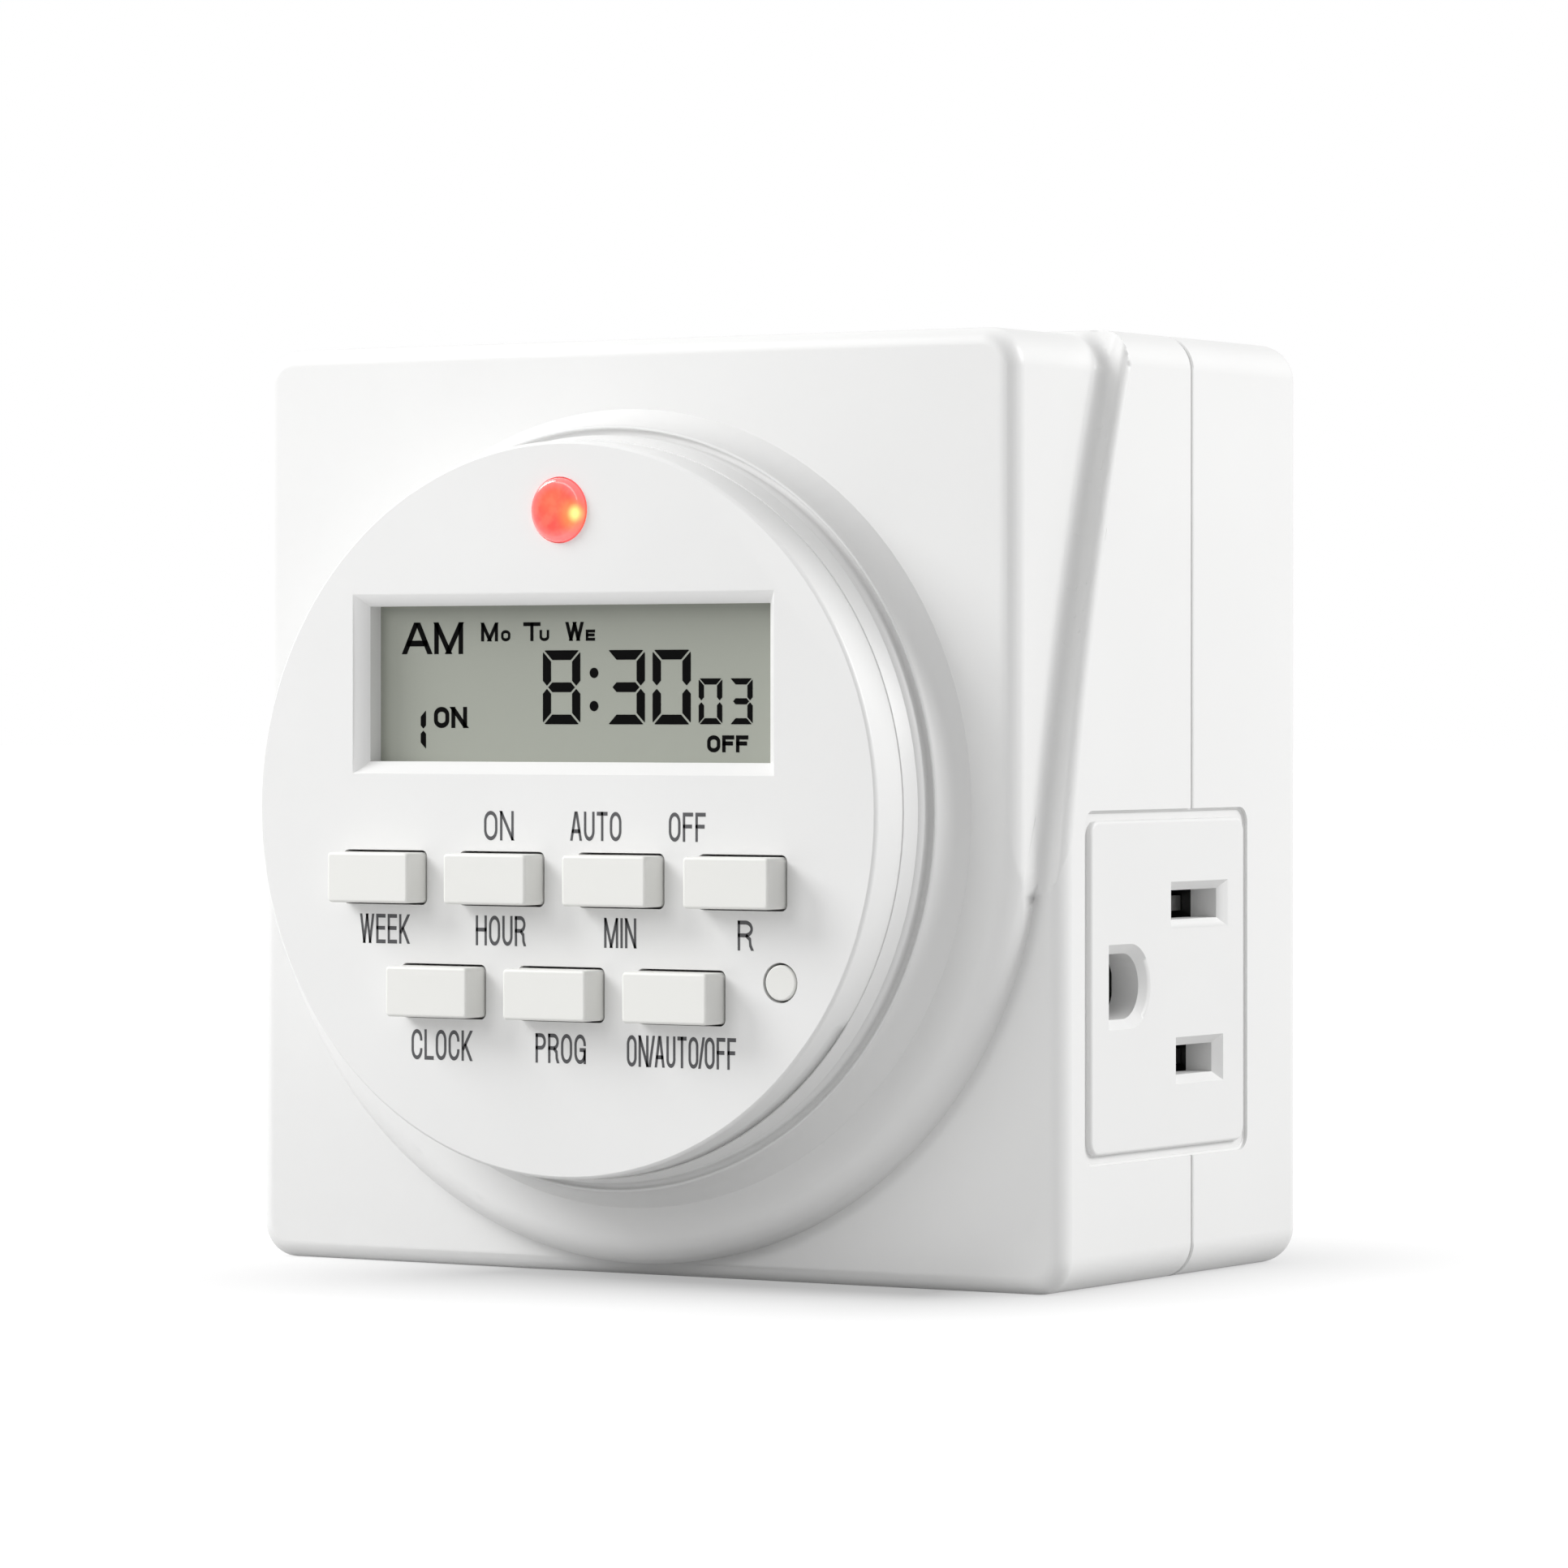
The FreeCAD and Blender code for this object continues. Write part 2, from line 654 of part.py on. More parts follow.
def dial_cap():
    """The round cap: a shallow cup with its windows, a spigot into the boss and four screw pillars."""
    rim = cap_radius - cap_draft
    slant = 1 - math.sqrt(0.5)
    cap = revolved([
        (0, cap_y),
        (rim - cap_edge_width, cap_y),
        (rim, cap_y + cap_edge_depth, rim - cap_edge_width * slant, cap_y + cap_edge_depth * slant),
        (cap_radius, cap_seat_y),
        (spigot_radius, cap_seat_y),
        (spigot_radius, cap_seat_y + spigot_length),
        (spigot_radius - spigot_wall, cap_seat_y + spigot_length),
        (spigot_radius - spigot_wall, cap_seat_y - spigot_root),
        (cap_radius - cap_side_wall, cap_seat_y - spigot_root),
        (cap_radius - cap_side_wall, cap_inner_y),
        (0, cap_inner_y),
    ])
    notch_end = cap_seat_y + spigot_length
    frame = panel_limits(2 * fit_gap + panel_frame_wall)
    frame_notch = box(frame[0], frame[1], cap_inner_y, notch_end, frame[2], frame[3])
    frame_notch = frame_notch.common(rod(0, dial_height, cap_radius - cap_side_wall, cap_inner_y, notch_end))
    lamp_notch = rod(0, dial_height + lamp_z, lamp_radius + lamp_collar + fit_gap, cap_inner_y, notch_end)
    cap = cap.cut([frame_notch, lamp_notch])
    x0, x1, z0, z1 = window_limits(window_bevel)
    pad = panel_limits(0)
    cap = cap.fuse(box(pad[0], pad[1], cap_inner_y - join_overlap, glass_y, pad[2], pad[3]))
    pillars = [rod(x, dial_height + z, cap_pillar_radius, cap_inner_y - join_overlap, board_y)
               for x, z in cap_pillar_places]
    cap = cap.fuse(pillars)
    cuts = [
        frustum(window_limits(0), cap_y, (x0, x1, z0, z1), cap_y + window_bevel_depth),
        box(x0, x1, cap_y, glass_y + join_overlap, z0, z1),
        rod(reset_x, dial_height + reset_z, reset_radius + key_gap, cap_y, cap_inner_y),
        rod(0, dial_height + lamp_z, lamp_radius + key_gap / 2, cap_y, cap_inner_y),
    ]
    for _, x, z in key_places():
        wide = key_width / 2 + key_gap
        high = key_height / 2 + key_gap
        cuts.append(rounded_block(x - wide, x + wide, cap_y, cap_inner_y, z - high, z + high,
                                  key_corner + key_gap))
    for x, z in cap_pillar_places:
        cuts.append(rod(x, dial_height + z, cap_pillar_hole, cap_inner_y + cap_pillar_floor, board_y))
    return cap.cut(cuts).removeSplitter()


def key(x, z):
    """A rectangular key with its retaining flange behind the cap."""
    front = cap_y - key_proud
    wide, high = key_width / 2, key_height / 2
    stem = rounded_block(x - wide, x + wide, front, mat_lid_y, z - high, z + high, key_corner)
    rim = edges_where(stem, lambda p: abs(p.y - front) < 1e-6)
    stem = stem.makeFillet(key_edge, rim)
    y0 = cap_inner_y + key_seat_gap
    wide, high = wide + key_flange, high + key_flange
    flange = rounded_block(x - wide, x + wide, y0, y0 + key_flange_thickness, z - high, z + high, key_corner)
    return stem.fuse(flange).removeSplitter()


def reset_button():
    """The small round button, flush with the cap, with its flange."""
    z = dial_height + reset_z
    y0 = cap_inner_y + key_seat_gap
    stem = rod(reset_x, z, reset_radius, cap_y, mat_lid_y)
    rim = edges_where(stem, lambda p: abs(p.y - cap_y) < 1e-6)
    stem = stem.makeFillet(reset_edge, rim)
    return stem.fuse(rod(reset_x, z, reset_flange_radius, y0, y0 + key_flange_thickness))


def keypad_mat():
    """The silicone sheet on the display board, with a hollow dome and a contact puck under each key."""
    base_y = board_y - mat_thickness
    lid_wide = puck_width / 2 + mat_lid_margin
    lid_high = puck_height / 2 + mat_lid_margin
    dome_wide, dome_high = lid_wide + mat_dome_spread, lid_high + mat_dome_spread
    places = key_places()
    left = min(x for _, x, _ in places) - dome_wide - mat_edge
    right = max(max(x for _, x, _ in places) + dome_wide + mat_edge, reset_x)
    low = min(z for _, _, z in places) - dome_high - mat_edge
    high = max(z for _, _, z in places) + dome_high + mat_edge
    sheet = box(left, right, base_y, board_y, low, high)
    reset_pad = rod(reset_x, dial_height + reset_z, reset_dome_radius + mat_edge, base_y, board_y)
    sheet = sheet.fuse(reset_pad).common(rod(0, dial_height, display_board_radius, base_y, board_y))
    domes = []
    hollows = []
    pucks = []
    inner_y = mat_lid_y + mat_wall
    puck_y = board_y - key_travel
    for _, x, z in places:
        lid = (x - lid_wide, x + lid_wide, z - lid_high, z + lid_high)
        foot = (x - dome_wide, x + dome_wide, z - dome_high, z + dome_high)
        lid_in = (lid[0] + mat_wall, lid[1] - mat_wall, lid[2] + mat_wall, lid[3] - mat_wall)
        foot_in = (foot[0] + mat_wall, foot[1] - mat_wall, foot[2] + mat_wall, foot[3] - mat_wall)
        domes.append(frustum(lid, mat_lid_y, foot, base_y))
        hollows.append(frustum(lid_in, inner_y, foot_in, base_y))
        hollows.append(box(foot_in[0], foot_in[1], base_y, board_y, foot_in[2], foot_in[3]))
        wide, tall = puck_width / 2 - mat_wall, puck_height / 2 - mat_wall / 2
        pucks.append(box(x - wide, x + wide, inner_y - mat_wall / 2, puck_y, z - tall, z + tall))
    z = dial_height + reset_z
    rise = base_y - mat_lid_y
    foot_radius, lid_radius = reset_dome_radius, reset_lid_radius
    centre = vec(reset_x, mat_lid_y, z)
    domes.append(Part.makeCone(lid_radius, foot_radius, rise, centre, along_y))
    hollows.append(Part.makeCone(lid_radius - mat_wall, foot_radius - mat_wall, rise - mat_wall,
                                 centre + vec(0, mat_wall, 0), along_y))
    hollows.append(rod(reset_x, z, foot_radius - mat_wall, base_y, board_y))
    return sheet.fuse(domes).cut(hollows).fuse(pucks).removeSplitter()


def panel_limits(extra):
    """The display panel's edges (x0, x1, z0, z1), moved outwards by an extra."""
    x0, x1, z0, z1 = window_limits(window_bevel)
    grow = panel_margin + extra
    return x0 - grow, x1 + grow, z0 - grow, z1 + grow


def panel_reach():
    """How far the display frame may reach from the dial axis inside the cap."""
    return cap_radius - cap_side_wall - fit_gap


def display_panel():
    """The liquid crystal panel: a front glass over a slightly longer back glass."""
    x0, x1, z0, z1 = panel_limits(0)
    middle, end = glass_y + panel_thickness / 2, glass_y + panel_thickness
    panel = box(x0, x1, middle, end, z0, z1)
    panel = panel.fuse(box(x0, x1, glass_y, middle, z0 + panel_ledge, z1 - panel_ledge)).removeSplitter()
    return panel.common(rod(0, dial_height, panel_reach() - panel_frame_corner - fit_gap, glass_y, end))


def display_frame():
    """The frame that holds the panel between the cap and the board."""
    outer = panel_limits(fit_gap + panel_frame_wall)
    inner = panel_limits(fit_gap)
    frame = box(outer[0], outer[1], cap_inner_y, board_y, outer[2], outer[3])
    reach = panel_reach()
    frame = frame.common(rod(0, dial_height, reach, cap_inner_y, board_y))
    opening = box(inner[0], inner[1], cap_inner_y, board_y, inner[2], inner[3])
    return frame.cut(opening.common(rod(0, dial_height, reach - panel_frame_corner, cap_inner_y, board_y)))


def zebra_strips():
    """Two elastic connector strips between the panel's edges and the board."""
    _, _, z0, z1 = panel_limits(0)
    half = zebra_length / 2
    y0 = glass_y + panel_thickness
    low = box(-half, half, y0, board_y, z0 + zebra_inset, z0 + zebra_inset + zebra_width)
    high = box(-half, half, y0, board_y, z1 - zebra_inset - zebra_width, z1 - zebra_inset)
    return Part.makeCompound([low, high])


def indicator_lamp():
    """A round light emitting diode with a shallow dome and its collar on the board."""
    z = dial_height + lamp_z
    collar_y = board_y - lamp_collar_height
    lens = rod(0, z, lamp_radius, cap_y - lamp_dome, collar_y)
    rim = edges_where(lens, lambda p: abs(p.y - cap_y + lamp_dome) < 1e-6)
    lens = lens.makeFillet(lamp_dome_edge, rim)
    return lens.fuse(rod(0, z, lamp_radius + lamp_collar, collar_y, board_y))


def display_board():
    """The round circuit board behind the keys and the display."""
    board = rod(0, dial_height, display_board_radius, board_y, display_board_back_y)
    holes = [rod(x, dial_height + z, cap_pillar_hole, board_y, display_board_back_y)
             for x, z in cap_pillar_places]
    return board.cut(holes)


def screw(x, z, head_y, head_radius, head_height, shank_radius, length, towards_back):
    """A pan head screw along Y; its head starts at head_y and its shank runs on from the head's seat."""
    if towards_back:
        head = rod(x, z, head_radius, head_y - head_height, head_y)
        shank = rod(x, z, shank_radius, head_y, head_y + length)
        rim = edges_where(head, lambda p: abs(p.y - head_y + head_height) < 1e-6)
    else:
        head = rod(x, z, head_radius, head_y, head_y + head_height)
        shank = rod(x, z, shank_radius, head_y - length, head_y)
        rim = edges_where(head, lambda p: abs(p.y - head_y - head_height) < 1e-6)
    return head.makeFillet(head_height * screw_edge_share, rim).fuse(shank)


def display_board_screws():
    """Four screws from the back of the display board into the cap's pillars."""
    radius = cap_pillar_hole - screw_shank_gap
    length = board_thickness + display_screw_bite
    return Part.makeCompound([
        screw(x, dial_height + z, display_board_back_y, screw_head_radius, screw_head_height, radius,
              length, False)
        for x, z in cap_pillar_places])


def housing_screws():
    """Four screws up the wells in the back into the front shell's posts."""
    seat_y = back_y - screw_well_depth
    length = seat_y - seam_y + screw_bite
    return Part.makeCompound([
        screw(x, z, seat_y, housing_screw_head_radius, housing_screw_head_height,
              screw_pilot_radius - screw_shank_gap, length, False)
        for x, z in housing_screw_places()])


def board_screw_places():
    """Where the power board's screws stand, as (x, z)."""
    x = power_board_width / 2 - board_screw_inset_x
    low, high = power_board_low + board_screw_inset_z, power_board_high - board_screw_inset_z
    return ((-x, low), (x, low), (-x, high), (x, high))


def power_board_screws():
    """Four screws through the power board into the rear shell's posts."""
    return Part.makeCompound([
        screw(x, z, power_board_y, board_screw_head_radius, screw_head_height,
              board_pilot_radius - screw_shank_gap, board_screw_length, True)
        for x, z in board_screw_places()])


def power_board():
    """The mains board, upright behind the outlets, with slots for the blades."""
    half = power_board_width / 2
    y0, y1 = power_board_y, power_board_y + board_thickness
    board = box(-half, half, y0, y1, power_board_low, power_board_high)
    holes = [rod(x, z, board_pilot_radius, y0, y1) for x, z in board_screw_places()]
    for side in (-1, 1):
        x = side * blade_spacing / 2
        half_t, half_b = blade_thickness / 2 + fit_gap, blade_width / 2 + fit_gap
        holes.append(box(x - half_t, x + half_t, y0, y1, blade_z - half_b, blade_z + half_b))
    holes.append(rod(0, ground_pin_z, ground_tail_radius + fit_gap, y0, y1))
    return board.cut(holes)


def blade_carrier():
    """The insulating block between the power board and the rear wall that holds the plug's blades."""
    half = carrier_width / 2
    y0, y1 = power_board_y + board_thickness, back_y - wall
    low = ground_pin_z - carrier_margin
    high = blade_z + blade_width / 2 + carrier_margin
    block = rounded_block(-half, half, y0, y1, low, high, carrier_corner)
    holes = []
    for side in (-1, 1):
        x = side * blade_spacing / 2
        half_t, half_b = blade_thickness / 2 + fit_gap, blade_width / 2 + fit_gap
        holes.append(box(x - half_t, x + half_t, y0, y1, blade_z - half_b, blade_z + half_b))
    holes.append(rod(0, ground_pin_z, ground_pin_root_radius + fit_gap, y0, y1))
    return block.cut(holes)


def plug_blade(side):
    """A flat plug blade, tapered at its nose, whose tail stands out ahead of the power board."""
    x = side * blade_spacing / 2
    half_t, half_b = blade_thickness / 2, blade_width / 2
    tip = back_y + blade_length
    limits = (x - half_t, x + half_t, blade_z - half_b, blade_z + half_b)
    nose_t = blade_nose_thickness / 2
    nose = (x - nose_t, x + nose_t, limits[2] + blade_nose_inset, limits[3] - blade_nose_inset)
    straight = box(limits[0], limits[1], power_board_y - blade_tail_reach, tip - blade_nose,
                   limits[2], limits[3])
    return straight.fuse(frustum(limits, tip - blade_nose, nose, tip))


def ground_pin():
    """The round ground pin: a rounded nose, a thicker root and a thinner tail through the power board."""
    tip = back_y + ground_pin_length
    start = power_board_y + board_thickness
    pin = rod(0, ground_pin_z, ground_pin_radius, start, tip)
    pin = pin.makeFillet(ground_pin_nose, edges_where(pin, lambda p: abs(p.y - tip) < 1e-6))
    root = rod(0, ground_pin_z, ground_pin_root_radius, start, back_y + ground_pin_root_proud)
    tail = rod(0, ground_pin_z, ground_tail_radius, power_board_y - blade_tail_reach, start)
    return pin.fuse([root, tail])


def slot_cut(length, z):
    """A bevelled blade slot through the outlet's plate."""
    face_x = half_width + outlet_proud
    wires = []
    for x, grow in ((face_x, slot_bevel), (face_x - slot_bevel_depth, 0)):
        y0, y1 = blade_line_y - length / 2 - grow, blade_line_y + length / 2 + grow
        z0, z1 = z - slot_height / 2 - grow, z + slot_height / 2 + grow
        wires.append(Part.makePolygon([vec(x, y0, z0), vec(x, y1, z0), vec(x, y1, z1), vec(x, y0, z1),
                                       vec(x, y0, z0)]))
    bevel = Part.makeLoft(wires, True, True)
    return bevel.fuse(box(face_x - outlet_plate - join_overlap, face_x - slot_bevel_depth,
                          blade_line_y - length / 2, blade_line_y + length / 2,
                          z - slot_height / 2, z + slot_height / 2))


def ground_hole_outline(x, grow):
    """The D-shaped ground hole: flat towards the dial, round towards the blades."""
    radius = ground_hole_height / 2 + grow
    round_y = ground_hole_y + ground_hole_shift
    flat_y = round_y + ground_hole_height / 2 - ground_hole_length - grow
    low, high = outlet_z - radius, outlet_z + radius
    return Part.Wire([
        Part.makeLine(vec(x, flat_y, low), vec(x, round_y, low)),
        Part.Arc(vec(x, round_y, low), vec(x, round_y + radius, outlet_z), vec(x, round_y, high)).toShape(),
        Part.makeLine(vec(x, round_y, high), vec(x, flat_y, high)),
        Part.makeLine(vec(x, flat_y, high), vec(x, flat_y, low)),
    ])


def outlet_insert():
    """The right-hand outlet insert: a face plate, a shoulder flange and a body with contact chambers."""
    face_x = half_width + outlet_proud
    shoulder_x = block_width / 2 - wall
    chamber_x = face_x - outlet_plate
    y0, y1 = outlet_front_y, outlet_back_y
    z0, z1 = outlet_low_z, outlet_high_z
    rim = outlet_rim
    plate = rounded_along_x(shoulder_x, face_x, y0, y1, z0, z1, outlet_corner)
    plate = plate.makeFillet(outlet_edge, edges_where(plate, lambda p: abs(p.x - face_x) < 1e-6))
    plate = plate.fuse(rounded_along_x(shoulder_x, half_width - outlet_rim_depth, y0 - rim, y1 + rim,
                                       z0 - rim, z1 + rim, outlet_corner))
    reach = rim + outlet_flange
    flange = box(shoulder_x - outlet_flange_thickness, shoulder_x, y0 - reach, y1 + reach, z0, z1)
    margin = outlet_body_margin
    body = box(outlet_body_x, shoulder_x, y0 + margin, y1 - margin, z0 + margin, z1 - margin)
    half_w = contact_width / 2 + contact_clearance
    half_h = chamber_height / 2
    ground_w = ground_contact_width / 2 + contact_clearance
    ground_h = ground_contact_gap / 2 + contact_thickness + contact_clearance
    cuts = [slot_cut(neutral_slot_length, neutral_z), slot_cut(line_slot_length, line_z)]
    for z in (neutral_z, line_z):
        cuts.append(box(outlet_body_x, chamber_x, blade_line_y - half_w, blade_line_y + half_w,
                        z - half_h, z + half_h))
    cuts.append(box(outlet_body_x, chamber_x, ground_hole_y - ground_w, ground_hole_y + ground_w,
                    outlet_z - ground_h, outlet_z + ground_h))
    bevel_x = face_x - slot_bevel_depth
    cuts.append(Part.makeLoft([ground_hole_outline(face_x, ground_hole_bevel),
                               ground_hole_outline(bevel_x, 0)], True, True))
    ground_hole = Part.Face(ground_hole_outline(bevel_x, 0))
    cuts.append(ground_hole.extrude(vec(slot_bevel_depth - outlet_plate, 0, 0)))
    return plate.fuse([flange, body]).cut(cuts).removeSplitter()


def spring_contact(centre_y, width, z, leaves, tail_y0, tail_y1):
    """Two leaves, given by their limits above z, joined at the inner end, and a tail to a bus strip."""
    tip_x = half_width + outlet_proud - outlet_plate - contact_tip
    web_x = outlet_body_x + contact_root
    y0, y1 = centre_y - width / 2, centre_y + width / 2
    pieces = [box(web_x, tip_x, y0, y1, z + low, z + high) for low, high in leaves]
    pieces.append(box(bus_end_x, web_x, tail_y0, tail_y1, z - bus_thickness / 2, z + bus_thickness / 2))
    ends = [limit for leaf in leaves for limit in leaf]
    web = box(web_x - contact_thickness, web_x, y0, y1, z + min(ends), z + max(ends))
    return web.fuse(pieces).removeSplitter()


def blade_leaves():
    """The leaves of a blade contact: a folded jaw above the gap and a thin leaf below it."""
    middle, half = -contact_gap_drop, contact_gap / 2
    return ((middle - half - contact_thickness, middle - half), (middle + half, middle + half + contact_jaw))


def ground_leaves():
    """The leaves of a ground contact, one each side of the pin."""
    half = ground_contact_gap / 2
    return (-half - contact_thickness, -half), (half, half + contact_thickness)


def front_tail():
    """The Y limits of the neutral strips, ahead of the blade line."""
    return blade_line_y - contact_width / 2, blade_line_y - bus_gap / 2


def rear_tail():
    """The Y limits of the line strips, behind the blade line."""
    return blade_line_y + bus_gap / 2, blade_line_y + contact_width / 2


def ground_tail():
    """The Y limits of the ground strip."""
    return ground_hole_y - ground_contact_width / 2, ground_hole_y + ground_contact_width / 2


def other_side(shape):
    """The same piece turned half round for the left outlet."""
    turned = shape.copy()
    turned.rotate(vec(0, 0, outlet_z), along_y, 180)
    return turned


def bus(right_z, tail, plate_x0, top_y, top_z):
    """A bus strip: an arm to each outlet and a plate that rises to its feed on the power board."""
    y0, y1 = tail
    plate_x1 = plate_x0 + bus_thickness
    left_z = 2 * outlet_z - right_z
    low = min(left_z, right_z) - bus_thickness / 2
    half = bus_thickness / 2
    pieces = [
        box(plate_x1, bus_end_x, y0, y1, right_z - half, right_z + half),
        box(-bus_end_x, plate_x0, y0, y1, left_z - half, left_z + half),
        box(plate_x0, plate_x1, y0, top_y, top_z - bus_tab / 2, top_z + bus_tab / 2),
    ]
    plate = box(plate_x0, plate_x1, y0, y1, low, top_z + bus_tab / 2)
    return plate.fuse(pieces).removeSplitter()


def board_place(place):
    """A place on the power board as (x, z) in the part's frame."""
    x, up = place
    return x, power_board_low + up


def boxed_piece(size, place):
    """A cased piece (width, height, length) on the power board, rounded but for its foot."""
    width, height, length = size
    x, z = board_place(place)
    block = box(x, x + width, power_board_y - height, power_board_y, z, z + length)
    top = [edge for edge in block.Edges if edge.BoundBox.YMax < power_board_y - fit_gap]
    return block.makeFillet(case_edge, top)


def electrolytic_capacitor():
    """The smoothing capacitor, a can with a crimp near its foot."""
    x, z = board_place(electrolytic_place)
    radius = electrolytic_radius
    can = rod(x, z, radius, power_board_y - electrolytic_height, power_board_y)
    crimp_y = power_board_y - crimp_height
    crimp = Part.makeTorus(radius + crimp_offset, crimp_radius, vec(x, crimp_y, z), along_y)
    rim = edges_where(can, lambda p: abs(p.y - power_board_y + electrolytic_height) < 1e-6)
    return can.makeFillet(electrolytic_edge, rim).cut(crimp)


def varistor():
    """The surge absorber, a coated disc on its edge."""
    x, z = board_place(varistor_place)
    half = varistor_thickness / 2
    centre = vec(x - half, power_board_y - varistor_radius, z)
    disc = Part.makeCylinder(varistor_radius, varistor_thickness, centre, vec(1, 0, 0))
    disc = disc.makeFillet(varistor_edge, [edge for edge in disc.Edges if edge.Closed])
    thick, high, long = varistor_foot
    foot = box(x - thick / 2, x + thick / 2, power_board_y - high, power_board_y, z - long / 2, z + long / 2)
    return disc.fuse(foot)


def axial_piece(x, z, radius, length):
    """A resistor or diode lying on the power board along X, with its two bent leads."""
    y = power_board_y - radius
    body = Part.makeCylinder(radius, length, vec(x, y, z), vec(1, 0, 0))
    body = body.makeFillet(radius * axial_edge_share, [edge for edge in body.Edges if edge.Closed])
    leads = []
    for end, outward in ((x, -1), (x + length, 1)):
        tip = end + outward * lead_reach
        root = end - outward * join_overlap
        knee = tip - outward * 2 * lead_half
        for start, stop, back in ((root, tip, y + lead_half), (knee, tip, power_board_y)):
            x0, x1 = sorted((start, stop))
            leads.append(box(x0, x1, y - lead_half, back, z - lead_half, z + lead_half))
    return body.fuse(leads)


def rectifier_diodes():
    """The rectifier's diodes in a row."""
    x, z = board_place(diode_place)
    return Part.makeCompound([axial_piece(x, z + index * diode_pitch, diode_radius, diode_length)
                              for index in range(diode_count)])


def backup_battery():
    """The rechargeable cell that keeps the clock running, on the display board's back."""
    x, z = battery_place
    end = display_board_back_y + battery_thickness
    cell = rod(x, dial_height + z, battery_radius, display_board_back_y, end)
    return cell.makeFillet(battery_edge, edges_where(cell, lambda p: abs(p.y - end) < 1e-6))


def controller_blob():
    """The epoxy dome over the controller chip."""
    x, z = controller_place
    ball_radius = (controller_radius ** 2 + controller_height ** 2) / (2 * controller_height)
    centre = vec(x, display_board_back_y + controller_height - ball_radius, dial_height + z)
    ball = Part.makeSphere(ball_radius, centre)
    return ball.common(rod(x, dial_height + z, controller_radius + over_cut, display_board_back_y,
                           display_board_back_y + controller_height + over_cut))


def clock_crystal():
    """The watch crystal lying on the display board's back."""
    x, z = crystal_place[0], dial_height + crystal_place[1]
    y = display_board_back_y + crystal_radius
    can = Part.makeCylinder(crystal_radius, crystal_length, vec(x, y, z), vec(1, 0, 0))
    can = can.makeFillet(crystal_edge, [edge for edge in can.Edges if edge.Closed])
    lead = box(x - crystal_lead, x + join_overlap, display_board_back_y, y + lead_half,
               z - lead_half, z + lead_half)
    return can.fuse(lead)


def ribbon_cable():
    """The flat cable from the display board back to the power board, in two equal bends."""
    z0, z1 = dial_height + ribbon_start_z, dial_height + ribbon_end_z
    y0, y1 = display_board_back_y, power_board_y
    rise = z1 - z0
    half_run = math.sqrt(ribbon_bend * rise - (rise / 2) ** 2) if rise < 2 * ribbon_bend else ribbon_bend
    middle_y = (y0 + y1) / 2
    turn = math.asin(min(half_run / ribbon_bend, 1.0))
    half_turn = turn / 2
    first = [vec(0, middle_y - half_run, z0),
             vec(0, middle_y - half_run + ribbon_bend * math.sin(half_turn),
                 z0 + ribbon_bend * (1 - math.cos(half_turn))),
             vec(0, middle_y, (z0 + z1) / 2)]
    second = [vec(0, 2 * middle_y - p.y, z0 + z1 - p.z) for p in reversed(first)]
    path = Part.Wire([
        Part.makeLine(vec(0, y0, z0), first[0]),
        Part.Arc(*first).toShape(),
        Part.Arc(*second).toShape(),
        Part.makeLine(second[2], vec(0, y1, z1)),
    ])
    half_w, half_t = ribbon_width / 2, ribbon_thickness / 2
    section = Part.makePolygon([vec(-half_w, y0, z0 - half_t), vec(half_w, y0, z0 - half_t),
                                vec(half_w, y0, z0 + half_t), vec(-half_w, y0, z0 + half_t),
                                vec(-half_w, y0, z0 - half_t)])
    return path.makePipeShell([section], True, False)


def build():
    """Every piece of the timer by node name."""
    neutral_x = -blade_spacing / 2 - blade_thickness / 2 - bus_thickness
    line_x = blade_spacing / 2 + blade_thickness / 2
    blade_tail_y = power_board_y - blade_tail_reach
    insert = outlet_insert()
    neutral = spring_contact(blade_line_y, contact_width, neutral_z, blade_leaves(), *front_tail())
    line = spring_contact(blade_line_y, contact_width, line_z, blade_leaves(), *rear_tail())
    ground = spring_contact(ground_hole_y, ground_contact_width, outlet_z, ground_leaves(), *ground_tail())
    x, z = board_place(resistor_place)
    parts = {
        "front_shell": front_shell(),
        "rear_shell": rear_shell(),
        "dial_cap": dial_cap(),
        "display_panel": display_panel(),
        "display_frame": display_frame(),
        "zebra_strips": zebra_strips(),
        "indicator_lamp": indicator_lamp(),
        "keypad_mat": keypad_mat(),
        "reset_button": reset_button(),
        "display_board": display_board(),
        "display_board_screws": display_board_screws(),
        "controller_blob": controller_blob(),
        "clock_crystal": clock_crystal(),
        "backup_battery": backup_battery(),
        "ribbon_cable": ribbon_cable(),
        "power_board": power_board(),
        "power_board_screws": power_board_screws(),
        "relay": boxed_piece(relay_size, relay_place),
        "film_capacitor": boxed_piece(film_size, film_place),
        "electrolytic_capacitor": electrolytic_capacitor(),
        "varistor": varistor(),
        "rectifier_diodes": rectifier_diodes(),
        "dropper_resistor": axial_piece(x, z, resistor_radius, resistor_length),
        "blade_carrier": blade_carrier(),
        "line_blade": plug_blade(1),
        "neutral_blade": plug_blade(-1),
        "ground_pin": ground_pin(),
        "outlet_right": insert,
        "outlet_left": other_side(insert),
        "neutral_contact_right": neutral,
        "neutral_contact_left": other_side(neutral),
        "line_contact_right": line,
        "line_contact_left": other_side(line),
        "ground_contact_right": ground,
        "ground_contact_left": other_side(ground),
        "neutral_bus": bus(neutral_z, front_tail(), neutral_x, power_board_y - neutral_tab_gap, blade_z),
        "line_bus": bus(line_z, rear_tail(), line_x, power_board_y, power_board_low + bus_tab),
        "ground_bus": bus(outlet_z, ground_tail(), -bus_thickness / 2, blade_tail_y, ground_pin_z),
        "housing_screws": housing_screws(),
    }
    for name, kx, kz in key_places():
        parts[name] = key(kx, kz)
    return parts


